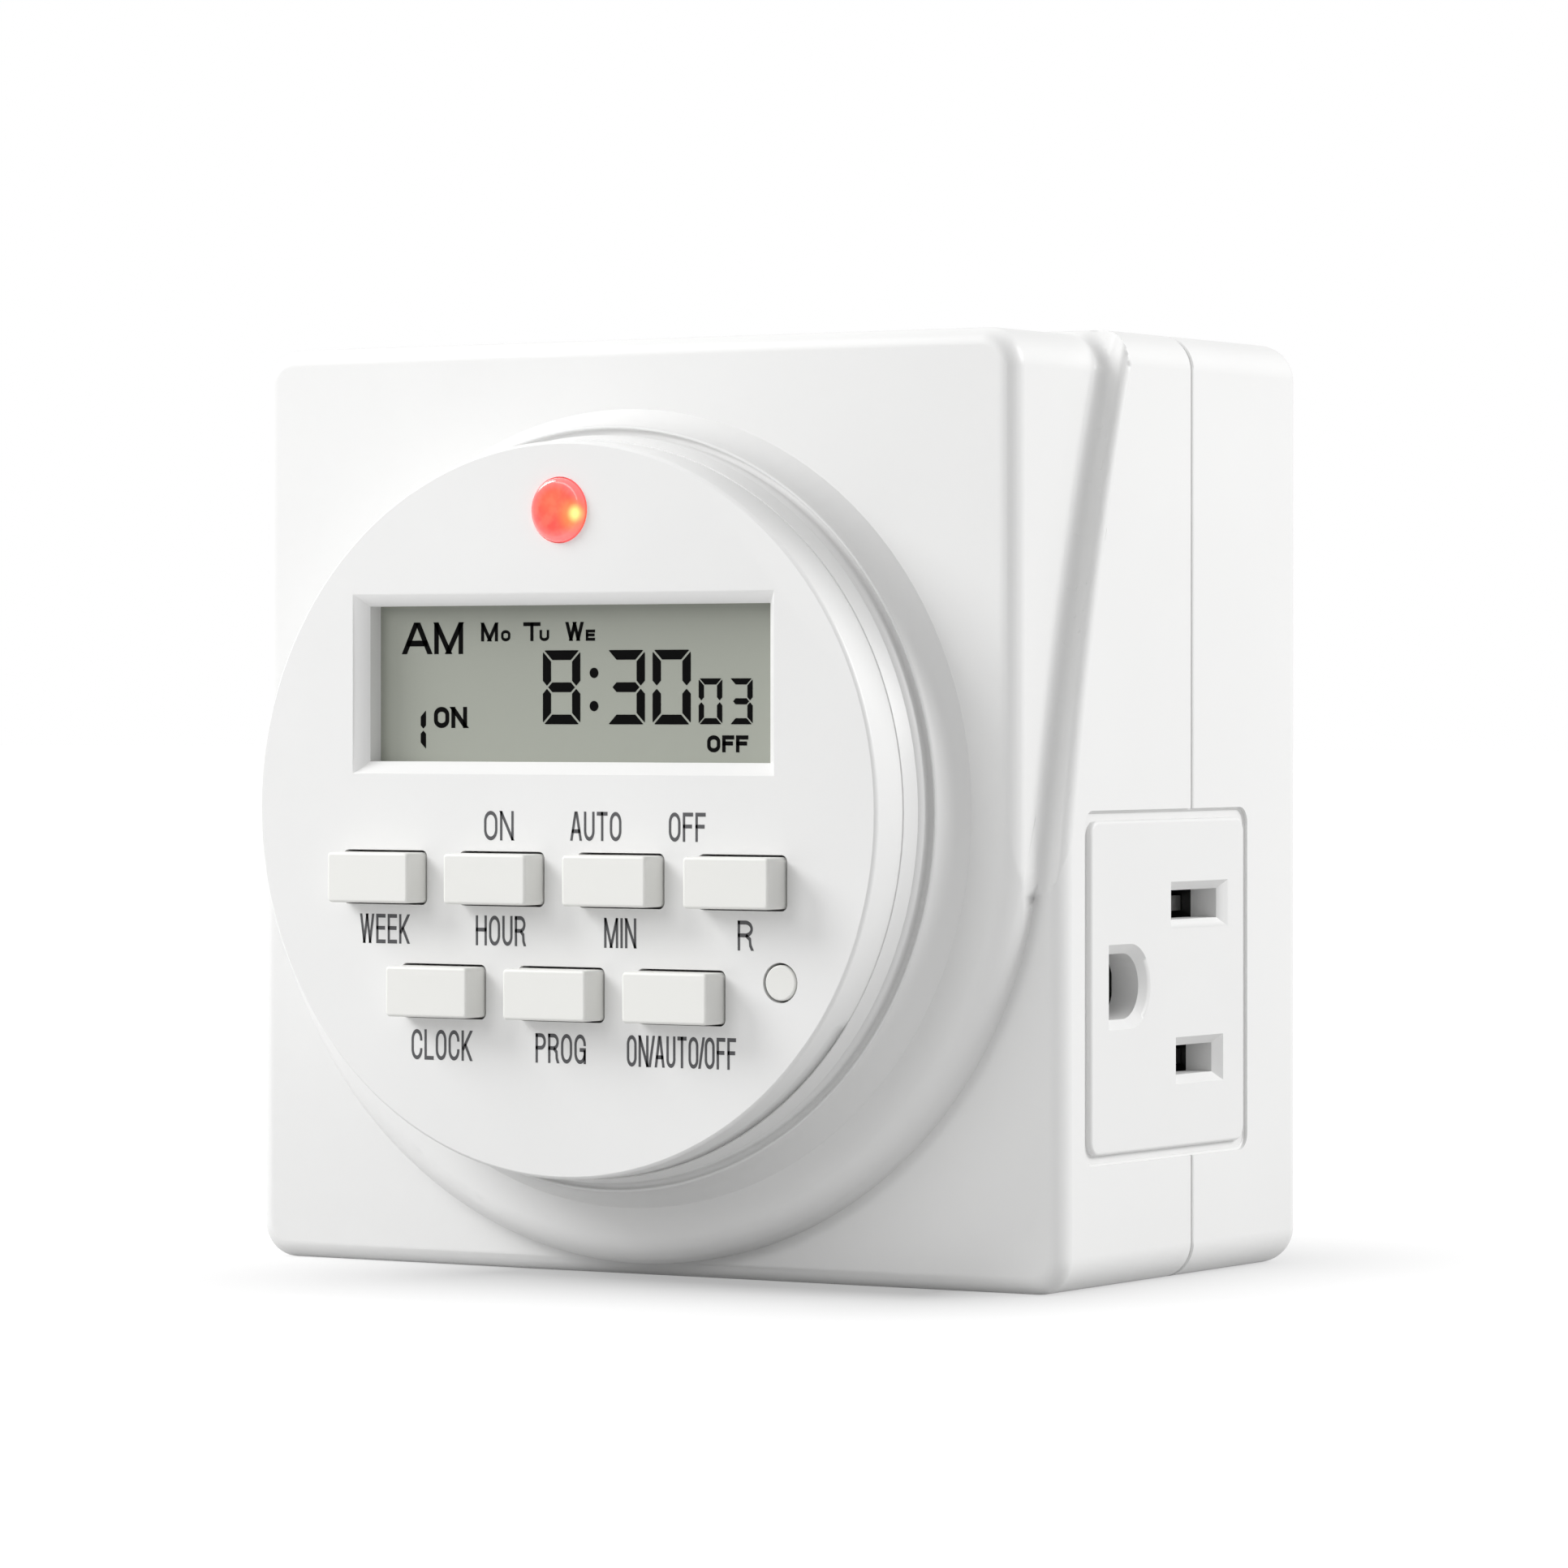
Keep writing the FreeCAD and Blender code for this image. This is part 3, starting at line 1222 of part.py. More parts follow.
os.makedirs("parts", exist_ok=True)
for node, shape in build().items():
    if not shape.isValid():
        raise ValueError(node + " isn't a valid solid")
    shape.exportStep("parts/" + node + ".step")
    print(node, len(shape.Solids), round(shape.Volume, 1))
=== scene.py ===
"""Looks of a plug-in outlet timer: white moulded housing, ringed dial, keys, display, outlets and plug."""
import logging
import math
from dataclasses import dataclass
from enum import Enum
from typing import Any, Callable, Iterable, Sequence

import bmesh
import bpy
import numpy as np
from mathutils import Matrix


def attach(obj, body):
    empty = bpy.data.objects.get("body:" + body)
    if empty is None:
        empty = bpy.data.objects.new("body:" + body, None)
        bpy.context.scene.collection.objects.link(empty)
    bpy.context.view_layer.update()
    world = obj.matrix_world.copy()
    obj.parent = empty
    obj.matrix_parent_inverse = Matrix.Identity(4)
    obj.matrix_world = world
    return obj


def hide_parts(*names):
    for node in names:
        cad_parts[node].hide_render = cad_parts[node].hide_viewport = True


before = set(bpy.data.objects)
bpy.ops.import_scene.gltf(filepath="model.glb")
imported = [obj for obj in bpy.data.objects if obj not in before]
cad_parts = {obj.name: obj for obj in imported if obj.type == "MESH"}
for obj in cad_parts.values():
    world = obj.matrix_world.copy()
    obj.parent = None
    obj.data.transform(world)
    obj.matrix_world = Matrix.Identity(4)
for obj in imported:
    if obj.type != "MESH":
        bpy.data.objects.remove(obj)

LOG = logging.getLogger("timer")
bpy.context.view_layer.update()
MM = 0.001
MIX_FACTOR, MIX_FIRST, MIX_SECOND, MIX_RESULT = 0, 6, 7, 2
NOISE_MIDDLE = 0.5
BLACK = (0.0, 0.0, 0.0)
WHITE = (1.0, 1.0, 1.0)
Point = tuple[float, float]
Colour = tuple[float, float, float]
Surface = tuple[np.ndarray, Any]


class Side(Enum):
    """The two outlet sides, as the sign of their X direction."""

    RIGHT = 1
    LEFT = -1


class Value:
    """One shader value, so that node maths reads as plain arithmetic."""

    def __init__(self, kit: "Shader", socket: Any) -> None:
        """Wraps an output socket of a node in a material."""
        self.kit = kit
        self.socket = socket

    def __add__(self, other: Any) -> "Value":
        """Sum."""
        return self.kit.maths("ADD", self, other)

    def __mul__(self, other: Any) -> "Value":
        """Product."""
        return self.kit.maths("MULTIPLY", self, other)

    def __sub__(self, other: Any) -> "Value":
        """Difference."""
        return self.kit.maths("SUBTRACT", self, other)

    def __rsub__(self, other: Any) -> "Value":
        """Difference with this value taken away."""
        return self.kit.maths("SUBTRACT", other, self)

    def drift(self, amount: float) -> "Value":
        """Noise turned into a swing of so much round zero: amount times (noise - middle)."""
        return amount * (self - NOISE_MIDDLE)

    __radd__ = __add__
    __rmul__ = __mul__


class Shader:
    """A material under construction: its node tree, coordinates and main surface."""

    def __init__(self, name: str) -> None:
        """Starts an empty node material with a Principled surface.

        Args:
            name: The material's name.
        """
        self.material = bpy.data.materials.new(name)
        self.material.use_nodes = True
        self.tree = self.material.node_tree
        self.tree.nodes.clear()
        self.output = self.tree.nodes.new("ShaderNodeOutputMaterial")
        self.surface = self.tree.nodes.new("ShaderNodeBsdfPrincipled")
        self.tree.links.new(self.surface.outputs["BSDF"], self.output.inputs["Surface"])
        coordinates = self.tree.nodes.new("ShaderNodeTexCoord")
        self.place = coordinates.outputs["Object"]

    def node(self, kind: str, settings: dict[str, Any] | None = None, **inputs: Any) -> Any:
        """Adds a node.

        Args:
            kind: The node's type name.
            settings: Properties set before its sockets are filled.
            **inputs: Socket values or links by socket name, with underscores for spaces.

        Returns:
            The new node.
        """
        made = self.tree.nodes.new(kind)
        for name, value in (settings or {}).items():
            setattr(made, name, value)
        for name, value in inputs.items():
            self.feed(made, name.replace("_", " "), value)
        return made

    def feed(self, node: Any, socket: str | int, value: Any) -> None:
        """Sets one input of a node.

        Args:
            node: The node.
            socket: The input's name or number.
            value: A number, a colour, a socket or a Value.
        """
        target = node.inputs[socket]
        if isinstance(value, Value):
            value = value.socket
        if isinstance(value, bpy.types.NodeSocket):
            self.tree.links.new(value, target)
        else:
            target.default_value = value

    def maths(self, operation: str, first: Any, second: Any = 0.0) -> Value:
        """Adds a Math node.

        Args:
            operation: The operation's type name.
            first: A number or a Value.
            second: Another one, where the operation takes two.

        Returns:
            The node's result.
        """
        made = self.tree.nodes.new("ShaderNodeMath")
        made.operation = operation
        self.feed(made, 0, first)
        self.feed(made, 1, second)
        return Value(self, made.outputs[0])

    def noise(self, cells: float, detail: float = 3.0, roughness: float = 0.5) -> Value:
        """Adds fractal noise on object coordinates, whose values run from about 0.25 to 0.75.

        Args:
            cells: Cells in a metre.
            detail: How many finer layers lie on the first.
            roughness: How much each finer layer counts.

        Returns:
            The noise.
        """
        made = self.node("ShaderNodeTexNoise", Vector=self.place, Scale=cells, Detail=detail,
                         Roughness=roughness)
        return Value(self, made.outputs["Fac"])

    def ramp(self, value: Value, low: float, high: float) -> Value:
        """Turns a value into a smooth step.

        Args:
            value: The value.
            low: Where the step is still 0.
            high: Where it has come to 1.

        Returns:
            The step.
        """
        made = self.node("ShaderNodeMapRange", {"interpolation_type": "SMOOTHSTEP"}, Value=value,
                         From_Min=low, From_Max=high)
        return Value(self, made.outputs["Result"])

    def mix(self, factor: Value, first: Any, second: Any) -> Any:
        """Blends two colours.

        Args:
            factor: 0 for the first colour, 1 for the second.
            first: A colour or a colour socket.
            second: Another one.

        Returns:
            The blend's colour socket.
        """
        made = self.node("ShaderNodeMix", {"data_type": "RGBA"})
        self.feed(made, MIX_FACTOR, factor)
        for socket, colour in ((MIX_FIRST, first), (MIX_SECOND, second)):
            self.feed(made, socket, colour if isinstance(colour, bpy.types.NodeSocket) else (*colour, 1.0))
        return made.outputs[MIX_RESULT]

    def distance(self, centre: Sequence[float]) -> Value:
        """Measures from a point.

        Args:
            centre: The point, in metres.

        Returns:
            The distance in metres.
        """
        made = self.node("ShaderNodeVectorMath", {"operation": "DISTANCE"})
        self.feed(made, 0, self.place)
        self.feed(made, 1, tuple(centre))
        return Value(self, made.outputs["Value"])

    def axis(self, name: str) -> Value:
        """One object coordinate, X, Y or Z, in metres."""
        made = self.node("ShaderNodeSeparateXYZ", Vector=self.place)
        return Value(self, made.outputs[name])

    def bump(self, height: Value, depth: float) -> None:
        """Feeds the surface's normal from a height field; depth is in metres."""
        made = self.node("ShaderNodeBump", Height=height, Distance=depth, Strength=1.0)
        self.feed(self.surface, "Normal", made.outputs["Normal"])

    def set(self, **inputs: Any) -> None:
        """Sets the surface's own sockets, named with underscores for spaces."""
        for name, value in inputs.items():
            self.feed(self.surface, name.replace("_", " "), value)


def toned(colour: Colour, factor: float = 1.0, lift: float = 0.0) -> Colour:
    """A colour times a factor plus a lift, held at 1."""
    return tuple(min(1.0, channel * factor + lift) for channel in colour)


@dataclass(frozen=True)
class MouldedPlastic:
    """A satin moulded plastic: fine spark texture, faint flow tone and uneven gloss."""

    name: str
    colour: Colour
    roughness: float = 0.38
    gloss: float = 0.42
    refraction: float = 1.49
    tone: float = 0.018
    tone_cells: float = 38.0
    tone_edges: Point = (0.35, 0.65)
    spark_cells: float = 5200.0
    spark_depth: float = 0.0000035
    spark_drift: float = 0.05
    patch_cells: float = 160.0
    patch_drift: float = 0.07

    def base_colour(self, kit: Shader) -> Any:
        """The colour with its faint flow tone, as a colour socket."""
        flow = kit.ramp(kit.noise(self.tone_cells, detail=2.0), *self.tone_edges)
        return kit.mix(flow, toned(self.colour, 1 - self.tone), self.colour)

    def build(self) -> bpy.types.Material:
        """Builds the material; patches and spark move the roughness round its mean.

        Returns:
            The new material.
        """
        kit = Shader(self.name)
        kit.set(Base_Color=self.base_colour(kit))
        spark = kit.noise(self.spark_cells, detail=2.0, roughness=0.6)
        patches = kit.noise(self.patch_cells)
        uneven = self.roughness + patches.drift(self.patch_drift) + spark.drift(self.spark_drift)
        kit.set(Roughness=uneven, Specular_IOR_Level=self.gloss, IOR=self.refraction)
        kit.bump(spark, self.spark_depth)
        return kit.material


@dataclass(frozen=True)
class OutletPlastic(MouldedPlastic):
    """The outlet inserts' plastic: white at the plate, with painted shade, near black, in the contact
    chambers behind it.
    """

    plate_back: float = 0.0363
    fade: float = 0.0001
    # Painted shade: the near-black colour of the chambers behind the plate.
    chamber_shade: Colour = (0.012, 0.012, 0.012)

    def base_colour(self, kit: Shader) -> Any:
        """The flow-toned white, with painted shade, near black, where the distance from the middle plane is
        under the plate's back.
        """
        plate = kit.ramp(kit.maths("ABSOLUTE", kit.axis("X")), self.plate_back - self.fade, self.plate_back)
        return kit.mix(plate, self.chamber_shade, super().base_colour(kit))


@dataclass(frozen=True)
class PlatedMetal:
    """Bare or plated sheet metal with fine drawn lines along one direction."""

    name: str
    colour: Colour
    roughness: float = 0.28
    line_cells: float = 9000.0
    line_stretch: Sequence[float] = (1.0, 0.04, 1.0)
    line_depth: float = 0.0000025
    line_drift: float = 0.12
    dull: float = 0.86
    tarnish_cells: float = 220.0
    tarnish_edges: Point = (0.3, 0.7)
    tarnish_drift: float = 0.08

    def build(self) -> bpy.types.Material:
        """Builds the material; tarnish dulls and roughens it in patches.

        Returns:
            The new material.
        """
        kit = Shader(self.name)
        stretched = kit.node("ShaderNodeMapping", Vector=kit.place, Scale=tuple(self.line_stretch))
        drawn = kit.node("ShaderNodeTexNoise", Vector=stretched.outputs["Vector"], Scale=self.line_cells,
                         Detail=2.0)
        line = Value(kit, drawn.outputs["Fac"])
        tarnish = kit.ramp(kit.noise(self.tarnish_cells), *self.tarnish_edges)
        kit.set(Base_Color=kit.mix(tarnish, toned(self.colour, self.dull), self.colour), Metallic=1.0)
        kit.set(Roughness=self.roughness + line.drift(self.line_drift) + self.tarnish_drift * tarnish)
        kit.bump(line, self.line_depth)
        return kit.material


@dataclass(frozen=True)
class LiquidCrystal:
    """The display's reflective film: grey-green, faintly grained, with a soft sheen.

    Painted shade: it darkens from the height low_z, in metres, up to high_z, standing in for the shadow of
    the window's top edge.
    """

    name: str
    colour: Colour
    low_z: float
    high_z: float
    # upper: the painted shade's factor at the top of the film.
    upper: float = 0.93
    cloud: Colour = (0.3, 0.32, 0.28)
    cloud_cover: float = 0.06
    cloud_cells: float = 90.0
    cloud_edges: Point = (0.2, 0.8)
    roughness: float = 0.42
    grain_cells: float = 14000.0
    grain_drift: float = 0.06
    grain_depth: float = 0.0000008
    gloss: float = 0.35
    sheen: float = 0.35
    sheen_roughness: float = 0.12

    def build(self) -> bpy.types.Material:
        """Builds the material.

        Returns:
            The new material.
        """
        kit = Shader(self.name)
        # Painted shade: the film darkens towards the top, where the window's edge shades it.
        height = kit.ramp(kit.axis("Z"), self.low_z, self.high_z)
        cloud = kit.ramp(kit.noise(self.cloud_cells), *self.cloud_edges)
        film = kit.mix(height, self.colour, toned(self.colour, self.upper))
        grain = kit.noise(self.grain_cells, detail=1.0)
        kit.set(Base_Color=kit.mix(cloud * self.cloud_cover, film, self.cloud))
        kit.set(Roughness=self.roughness + grain.drift(self.grain_drift), Specular_IOR_Level=self.gloss)
        kit.set(Coat_Weight=self.sheen, Coat_Roughness=self.sheen_roughness)
        kit.bump(grain, self.grain_depth)
        return kit.material


@dataclass(frozen=True)
class LampLens:
    """The lit lamp: a red dome with a paler rim, an orange upper part and a painted highlight, a bright,
    pale orange patch to one side.
    """

    name: str
    centre: Sequence[float]
    radius: float
    deep_red: Colour = (0.86, 0.06, 0.045)
    bright_red: Colour = (1.0, 0.17, 0.1)
    orange: Colour = (1.0, 0.14, 0.05)
    pink: Colour = (1.0, 0.2, 0.2)
    highlight_warm: Colour = (1.0, 0.2, 0.05)
    yellow: Colour = (1.0, 0.76, 0.22)
    rim_edges: Point = (0.55, 1.02)
    streak_cells: float = 900.0
    streak_edges: Point = (0.42, 0.62)
    streak_cover: float = 0.35
    streak_drift: float = 0.1
    upper_cover: float = 0.5
    rim_cover: float = 0.75
    wave_cells: float = 700.0
    wave_depth: float = 0.00001
    glow_strength: float = 0.5
    roughness: float = 0.12
    coat: float = 0.7
    coat_roughness: float = 0.08

    def glow(self, kit: Shader, across: float, up: float, full: float, gone: float) -> Value:
        """A round patch on the lens; every length is a share of the lens's radius.

        Args:
            kit: The material under construction.
            across: X of the patch's middle from the lens's.
            up: Z of the patch's middle from the lens's.
            full: The distance to which the patch is 1.
            gone: The distance from which it is 0.

        Returns:
            The patch's strength.
        """
        x, y, z = self.centre
        away = kit.distance((x + self.radius * across, y, z + self.radius * up))
        return 1.0 - kit.ramp(away, self.radius * full, self.radius * gone)

    def build(self) -> bpy.types.Material:
        """Builds the material: streaks, upper part and rim tone the red, then come the painted highlight and
        its paler middle.

        Returns:
            The new material.
        """
        kit = Shader(self.name)
        rim = kit.ramp(kit.distance(self.centre), *(self.radius * edge for edge in self.rim_edges))
        upper = self.glow(kit, across=-0.15, up=0.28, full=0.1, gone=0.75)
        # Painted highlight: a bright patch to the right of the lens, with a paler middle.
        painted_highlight = self.glow(kit, across=0.62, up=-0.16, full=0.08, gone=0.72)
        highlight_core = self.glow(kit, across=0.72, up=-0.12, full=0.02, gone=0.36)
        streak = kit.ramp(kit.noise(self.streak_cells), *self.streak_edges)
        lit = kit.mix(streak * self.streak_cover, self.deep_red, self.bright_red)
        for cover, colour in ((upper * self.upper_cover, self.orange), (rim * self.rim_cover, self.pink),
                              (painted_highlight, self.highlight_warm), (highlight_core, self.yellow)):
            lit = kit.mix(cover, lit, colour)
        kit.set(Base_Color=lit, Emission_Color=lit, Emission_Strength=self.glow_strength)
        kit.set(Roughness=self.roughness + self.streak_drift * streak)
        kit.set(Coat_Weight=self.coat, Coat_Roughness=self.coat_roughness)
        kit.bump(kit.noise(self.wave_cells, detail=2.0), self.wave_depth)
        return kit.material


@dataclass(frozen=True)
class PrintedInk:
    """Pad-printed ink or a dark display segment, a little broken in its cover."""

    name: str
    colour: Colour
    roughness: float = 0.55
    cover: float = 0.12
    shine: float = 0.3
    speck_cells: float = 6000.0
    speck_edges: Point = (0.35, 0.7)
    speck_lift: float = 0.05
    speck_drift: float = 0.1

    def build(self) -> bpy.types.Material:
        """Builds the material.

        Returns:
            The new material.
        """
        kit = Shader(self.name)
        speck = kit.ramp(kit.noise(self.speck_cells, detail=2.0), *self.speck_edges)
        lighter = toned(self.colour, lift=self.speck_lift)
        kit.set(Base_Color=kit.mix(speck * self.cover, self.colour, lighter))
        kit.set(Roughness=self.roughness + speck.drift(self.speck_drift), Specular_IOR_Level=self.shine)
        return kit.material


@dataclass(frozen=True)
class Laminate:
    """A circuit board's laminate with a faint woven base."""

    name: str
    colour: Colour
    thread_cells: float = 900.0
    thread_bend: float = 1.5
    thread_cover: float = 0.5
    thread_gain: float = 1.25
    thread_depth: float = 0.00001
    thread_drift: float = 0.1
    roughness: float = 0.45

    def build(self) -> bpy.types.Material:
        """Builds the material.

        Returns:
            The new material.
        """
        kit = Shader(self.name)
        weave = kit.node("ShaderNodeTexWave", {"wave_type": "BANDS", "bands_direction": "X"},
                         Vector=kit.place, Scale=self.thread_cells, Distortion=self.thread_bend)
        thread = Value(kit, weave.outputs["Fac"])
        pale = toned(self.colour, self.thread_gain)
        kit.set(Base_Color=kit.mix(thread * self.thread_cover, self.colour, pale))
        kit.set(Roughness=self.roughness + self.thread_drift * thread)
        kit.bump(thread, self.thread_depth)
        return kit.material




@dataclass(frozen=True)
class Box:
    """An upright box in metres: its left edge X, its low edge Z, its width and its height."""

    left: float
    low: float
    width: float
    height: float

    @classmethod
    def between(cls, x0: float, x1: float, z0: float, z1: float) -> "Box":
        """The box between edges in millimetres."""
        return cls(x0 * MM, z0 * MM, (x1 - x0) * MM, (z1 - z0) * MM)


@dataclass(frozen=True)
class Layer:
    """A thin layer: Y of the face that is seen and Y of the face that lies on what carries it."""

    front: float
    back: float

    @classmethod
    def on(cls, face_y: float, height: float) -> "Layer":
        """The layer of a height on a face that looks towards -Y, from millimetres."""
        return cls((face_y - height) * MM, face_y * MM)


@dataclass(frozen=True)
class Pen:
    """A letter's pen: the thickness of a level stroke, and the share of it that an upright stroke has."""

    stroke: float
    squeeze: float


def mesh_object(name: str, points: np.ndarray, faces: Sequence[Sequence[int]] | np.ndarray,
                smooth: bool = True, angle: float = 32.0) -> bpy.types.Object:
    """Makes an object at the origin from points in metres.

    Args:
        name: The piece's name.
        points: Vertices, one row each.
        faces: Vertex indices of each face.
        smooth: Whether faces are shaded smooth up to the sharp angle.
        angle: The sharp angle in degrees.

    Returns:
        The new object, linked to the scene.
    """
    mesh = bpy.data.meshes.new(name)
    mesh.from_pydata(np.asarray(points, float).tolist(), [], [np.asarray(face).tolist() for face in faces])
    mesh.validate()
    if smooth:
        mesh.shade_smooth()
        mesh.set_sharp_from_angle(angle=math.radians(angle))
    made = bpy.data.objects.new(name, mesh)
    bpy.context.scene.collection.objects.link(made)
    return made


def grid_faces(rows: int, columns: int, wrap: bool) -> np.ndarray:
    """Quads over a grid of points that are numbered row by row.

    Args:
        rows: Rows of points.
        columns: Points in a row.
        wrap: Whether the last column joins the first.

    Returns:
        Four point numbers for each quad.
    """
    across = columns if wrap else columns - 1
    row, column = np.meshgrid(np.arange(rows - 1), np.arange(across), indexing="ij")
    following = (column + 1) % columns
    here = row * columns
    corners = [here + column, here + following, here + columns + following, here + columns + column]
    return np.stack(corners, axis=-1).reshape(-1, 4)


def arc(centre: Point, radius: float | Point, start: float, end: float, steps: int) -> np.ndarray:
    """Points on a circle or ellipse: centre plus radius times the cosine and sine of an even sweep.

    Args:
        centre: The middle.
        radius: One radius, or one across and one up.
        start: The sweep's first angle in degrees.
        end: Its last angle.
        steps: How many points.

    Returns:
        The points, one row each.
    """
    across, up = radius if isinstance(radius, tuple) else (radius, radius)
    turn = np.radians(np.linspace(start, end, steps))
    return np.stack([centre[0] + across * np.cos(turn), centre[1] + up * np.sin(turn)], axis=1)


def revolve(profile: np.ndarray, axis_z: float, segments: int) -> Surface:
    """Turns a profile of (radius, y) round an axis along Y: x is radius times cosine, z radius times sine.

    Args:
        profile: Points from the innermost front point round to the back, in metres.
        axis_z: The axis height.
        segments: Steps round the circle.

    Returns:
        The points and the quads.
    """
    turn = np.linspace(0, 2 * np.pi, segments, endpoint=False)
    radius, depth = profile[:, :1], profile[:, 1:]
    x = radius * np.cos(turn)
    z = axis_z + radius * np.sin(turn)
    points = np.stack([x, np.broadcast_to(depth, x.shape), z], axis=-1).reshape(-1, 3)
    return points, grid_faces(len(profile), segments, True)


def outward(piece: bpy.types.Object, merge: float = 1e-7) -> bpy.types.Object:
    """Merges doubled points and turns every face outwards.

    Args:
        piece: The object.
        merge: The distance in metres under which points become one.

    Returns:
        The same object.
    """
    work = bmesh.new()
    work.from_mesh(piece.data)
    bmesh.ops.remove_doubles(work, verts=work.verts, dist=merge)
    bmesh.ops.recalc_face_normals(work, faces=work.faces)
    work.to_mesh(piece.data)
    work.free()
    return piece


def joined(parts: Iterable[Surface]) -> Surface:
    """Puts several surfaces into one.

    Args:
        parts: Points and faces of each.

    Returns:
        All the points, and all the faces with their numbers moved on.
    """
    points: list[np.ndarray] = []
    faces: list[np.ndarray] = []
    start = 0
    for part_points, part_faces in parts:
        points.append(part_points)
        faces.extend(np.asarray(face) + start for face in part_faces)
        start += len(part_points)
    return np.concatenate(points), faces


def prism(outline: np.ndarray, layer: Layer) -> Surface:
    """A thin closed plate: an outline at the layer's front and again at its back.

    Args:
        outline: Points (x, z) round the plate, in metres.
        layer: The layer that the plate fills.

    Returns:
        The points and the faces.
    """
    count = len(outline)
    points = np.concatenate([np.column_stack([outline[:, 0], np.full(count, y), outline[:, 1]])
                             for y in (layer.front, layer.back)])
    here = np.arange(count)
    following = (here + 1) % count
    sides = np.stack([here, following, count + following, count + here], axis=1)
    return points, [*sides, here[::-1], count + here]


MITRE_LIMIT = 0.45


def carried_section(path: np.ndarray, half_width: float, closed: bool) -> np.ndarray:
    """Left and right edges of a stroke: each point moved along the mitre of its neighbours' directions.

    It moves by half the width over the cosine between the mitre and the stroke's normal, which counts as
    no less than MITRE_LIMIT.

    Args:
        path: Points (across, up) of the stroke's middle line.
        half_width: Half the stroke's width.
        closed: Whether the last point runs on to the first.

    Returns:
        An array of shape (points, 2, 2): the left and the right edge point at each place.
    """
    before = np.roll(path, 1, axis=0)
    after = np.roll(path, -1, axis=0)
    if not closed:
        before[0] = 2 * path[0] - path[1]
        after[-1] = 2 * path[-1] - path[-2]
    first = (path - before) / np.linalg.norm(path - before, axis=1, keepdims=True)
    second = (after - path) / np.linalg.norm(after - path, axis=1, keepdims=True)
    normal_a = np.stack([-first[:, 1], first[:, 0]], axis=1)
    normal_b = np.stack([-second[:, 1], second[:, 0]], axis=1)
    mitre = normal_a + normal_b
    mitre /= np.linalg.norm(mitre, axis=1, keepdims=True)
    reach = half_width / np.clip((mitre * normal_a).sum(axis=1, keepdims=True), MITRE_LIMIT, 1.0)
    return np.stack([path + mitre * reach, path - mitre * reach], axis=1)


def ribbon_prism(edges: np.ndarray, layer: Layer, closed: bool) -> Surface:
    """A thin bar between the left and right edges of a stroke.

    Args:
        edges: The left and right edge points (x, z) at each place, in metres.
        layer: The layer that the bar fills.
        closed: Whether the stroke is a ring.

    Returns:
        The points and the quads.
    """
    count = len(edges)
    left, right = edges[:, 0], edges[:, 1]
    corners = [(left, layer.front), (right, layer.front), (right, layer.back), (left, layer.back)]
    rows = [np.column_stack([edge[:, 0], np.full(count, y), edge[:, 1]]) for edge, y in corners]
    points = np.stack(rows, axis=1).reshape(-1, 3)
    faces = grid_faces(count + 1 if closed else count, 4, True) % (4 * count)
    if closed:
        return points, faces
    last = 4 * (count - 1)
    ends = np.array([[3, 2, 1, 0], [last, last + 1, last + 2, last + 3]])
    return points, np.concatenate([faces, ends])


DEGREES_PER_STEP = 9
FEWEST_STEPS = 5


def bow(cx: float, cy: float, rx: float, ry: float, start: float, end: float) -> list[Point]:
    """An elliptical stretch of a letter's stroke, as a short list of points."""
    steps = max(FEWEST_STEPS, int(abs(end - start) / DEGREES_PER_STEP) + 1)
    return [tuple(point) for point in arc((cx, cy), (rx, ry), start, end, steps)]


TALLEST_ROUND = 0.34
ROUND_SHARE = 1.15
WIDEST_LEAN = 0.16
LEAN_SHARE = 0.3
BAR_HEIGHT = 0.53
WAIST_HEIGHT = 0.51


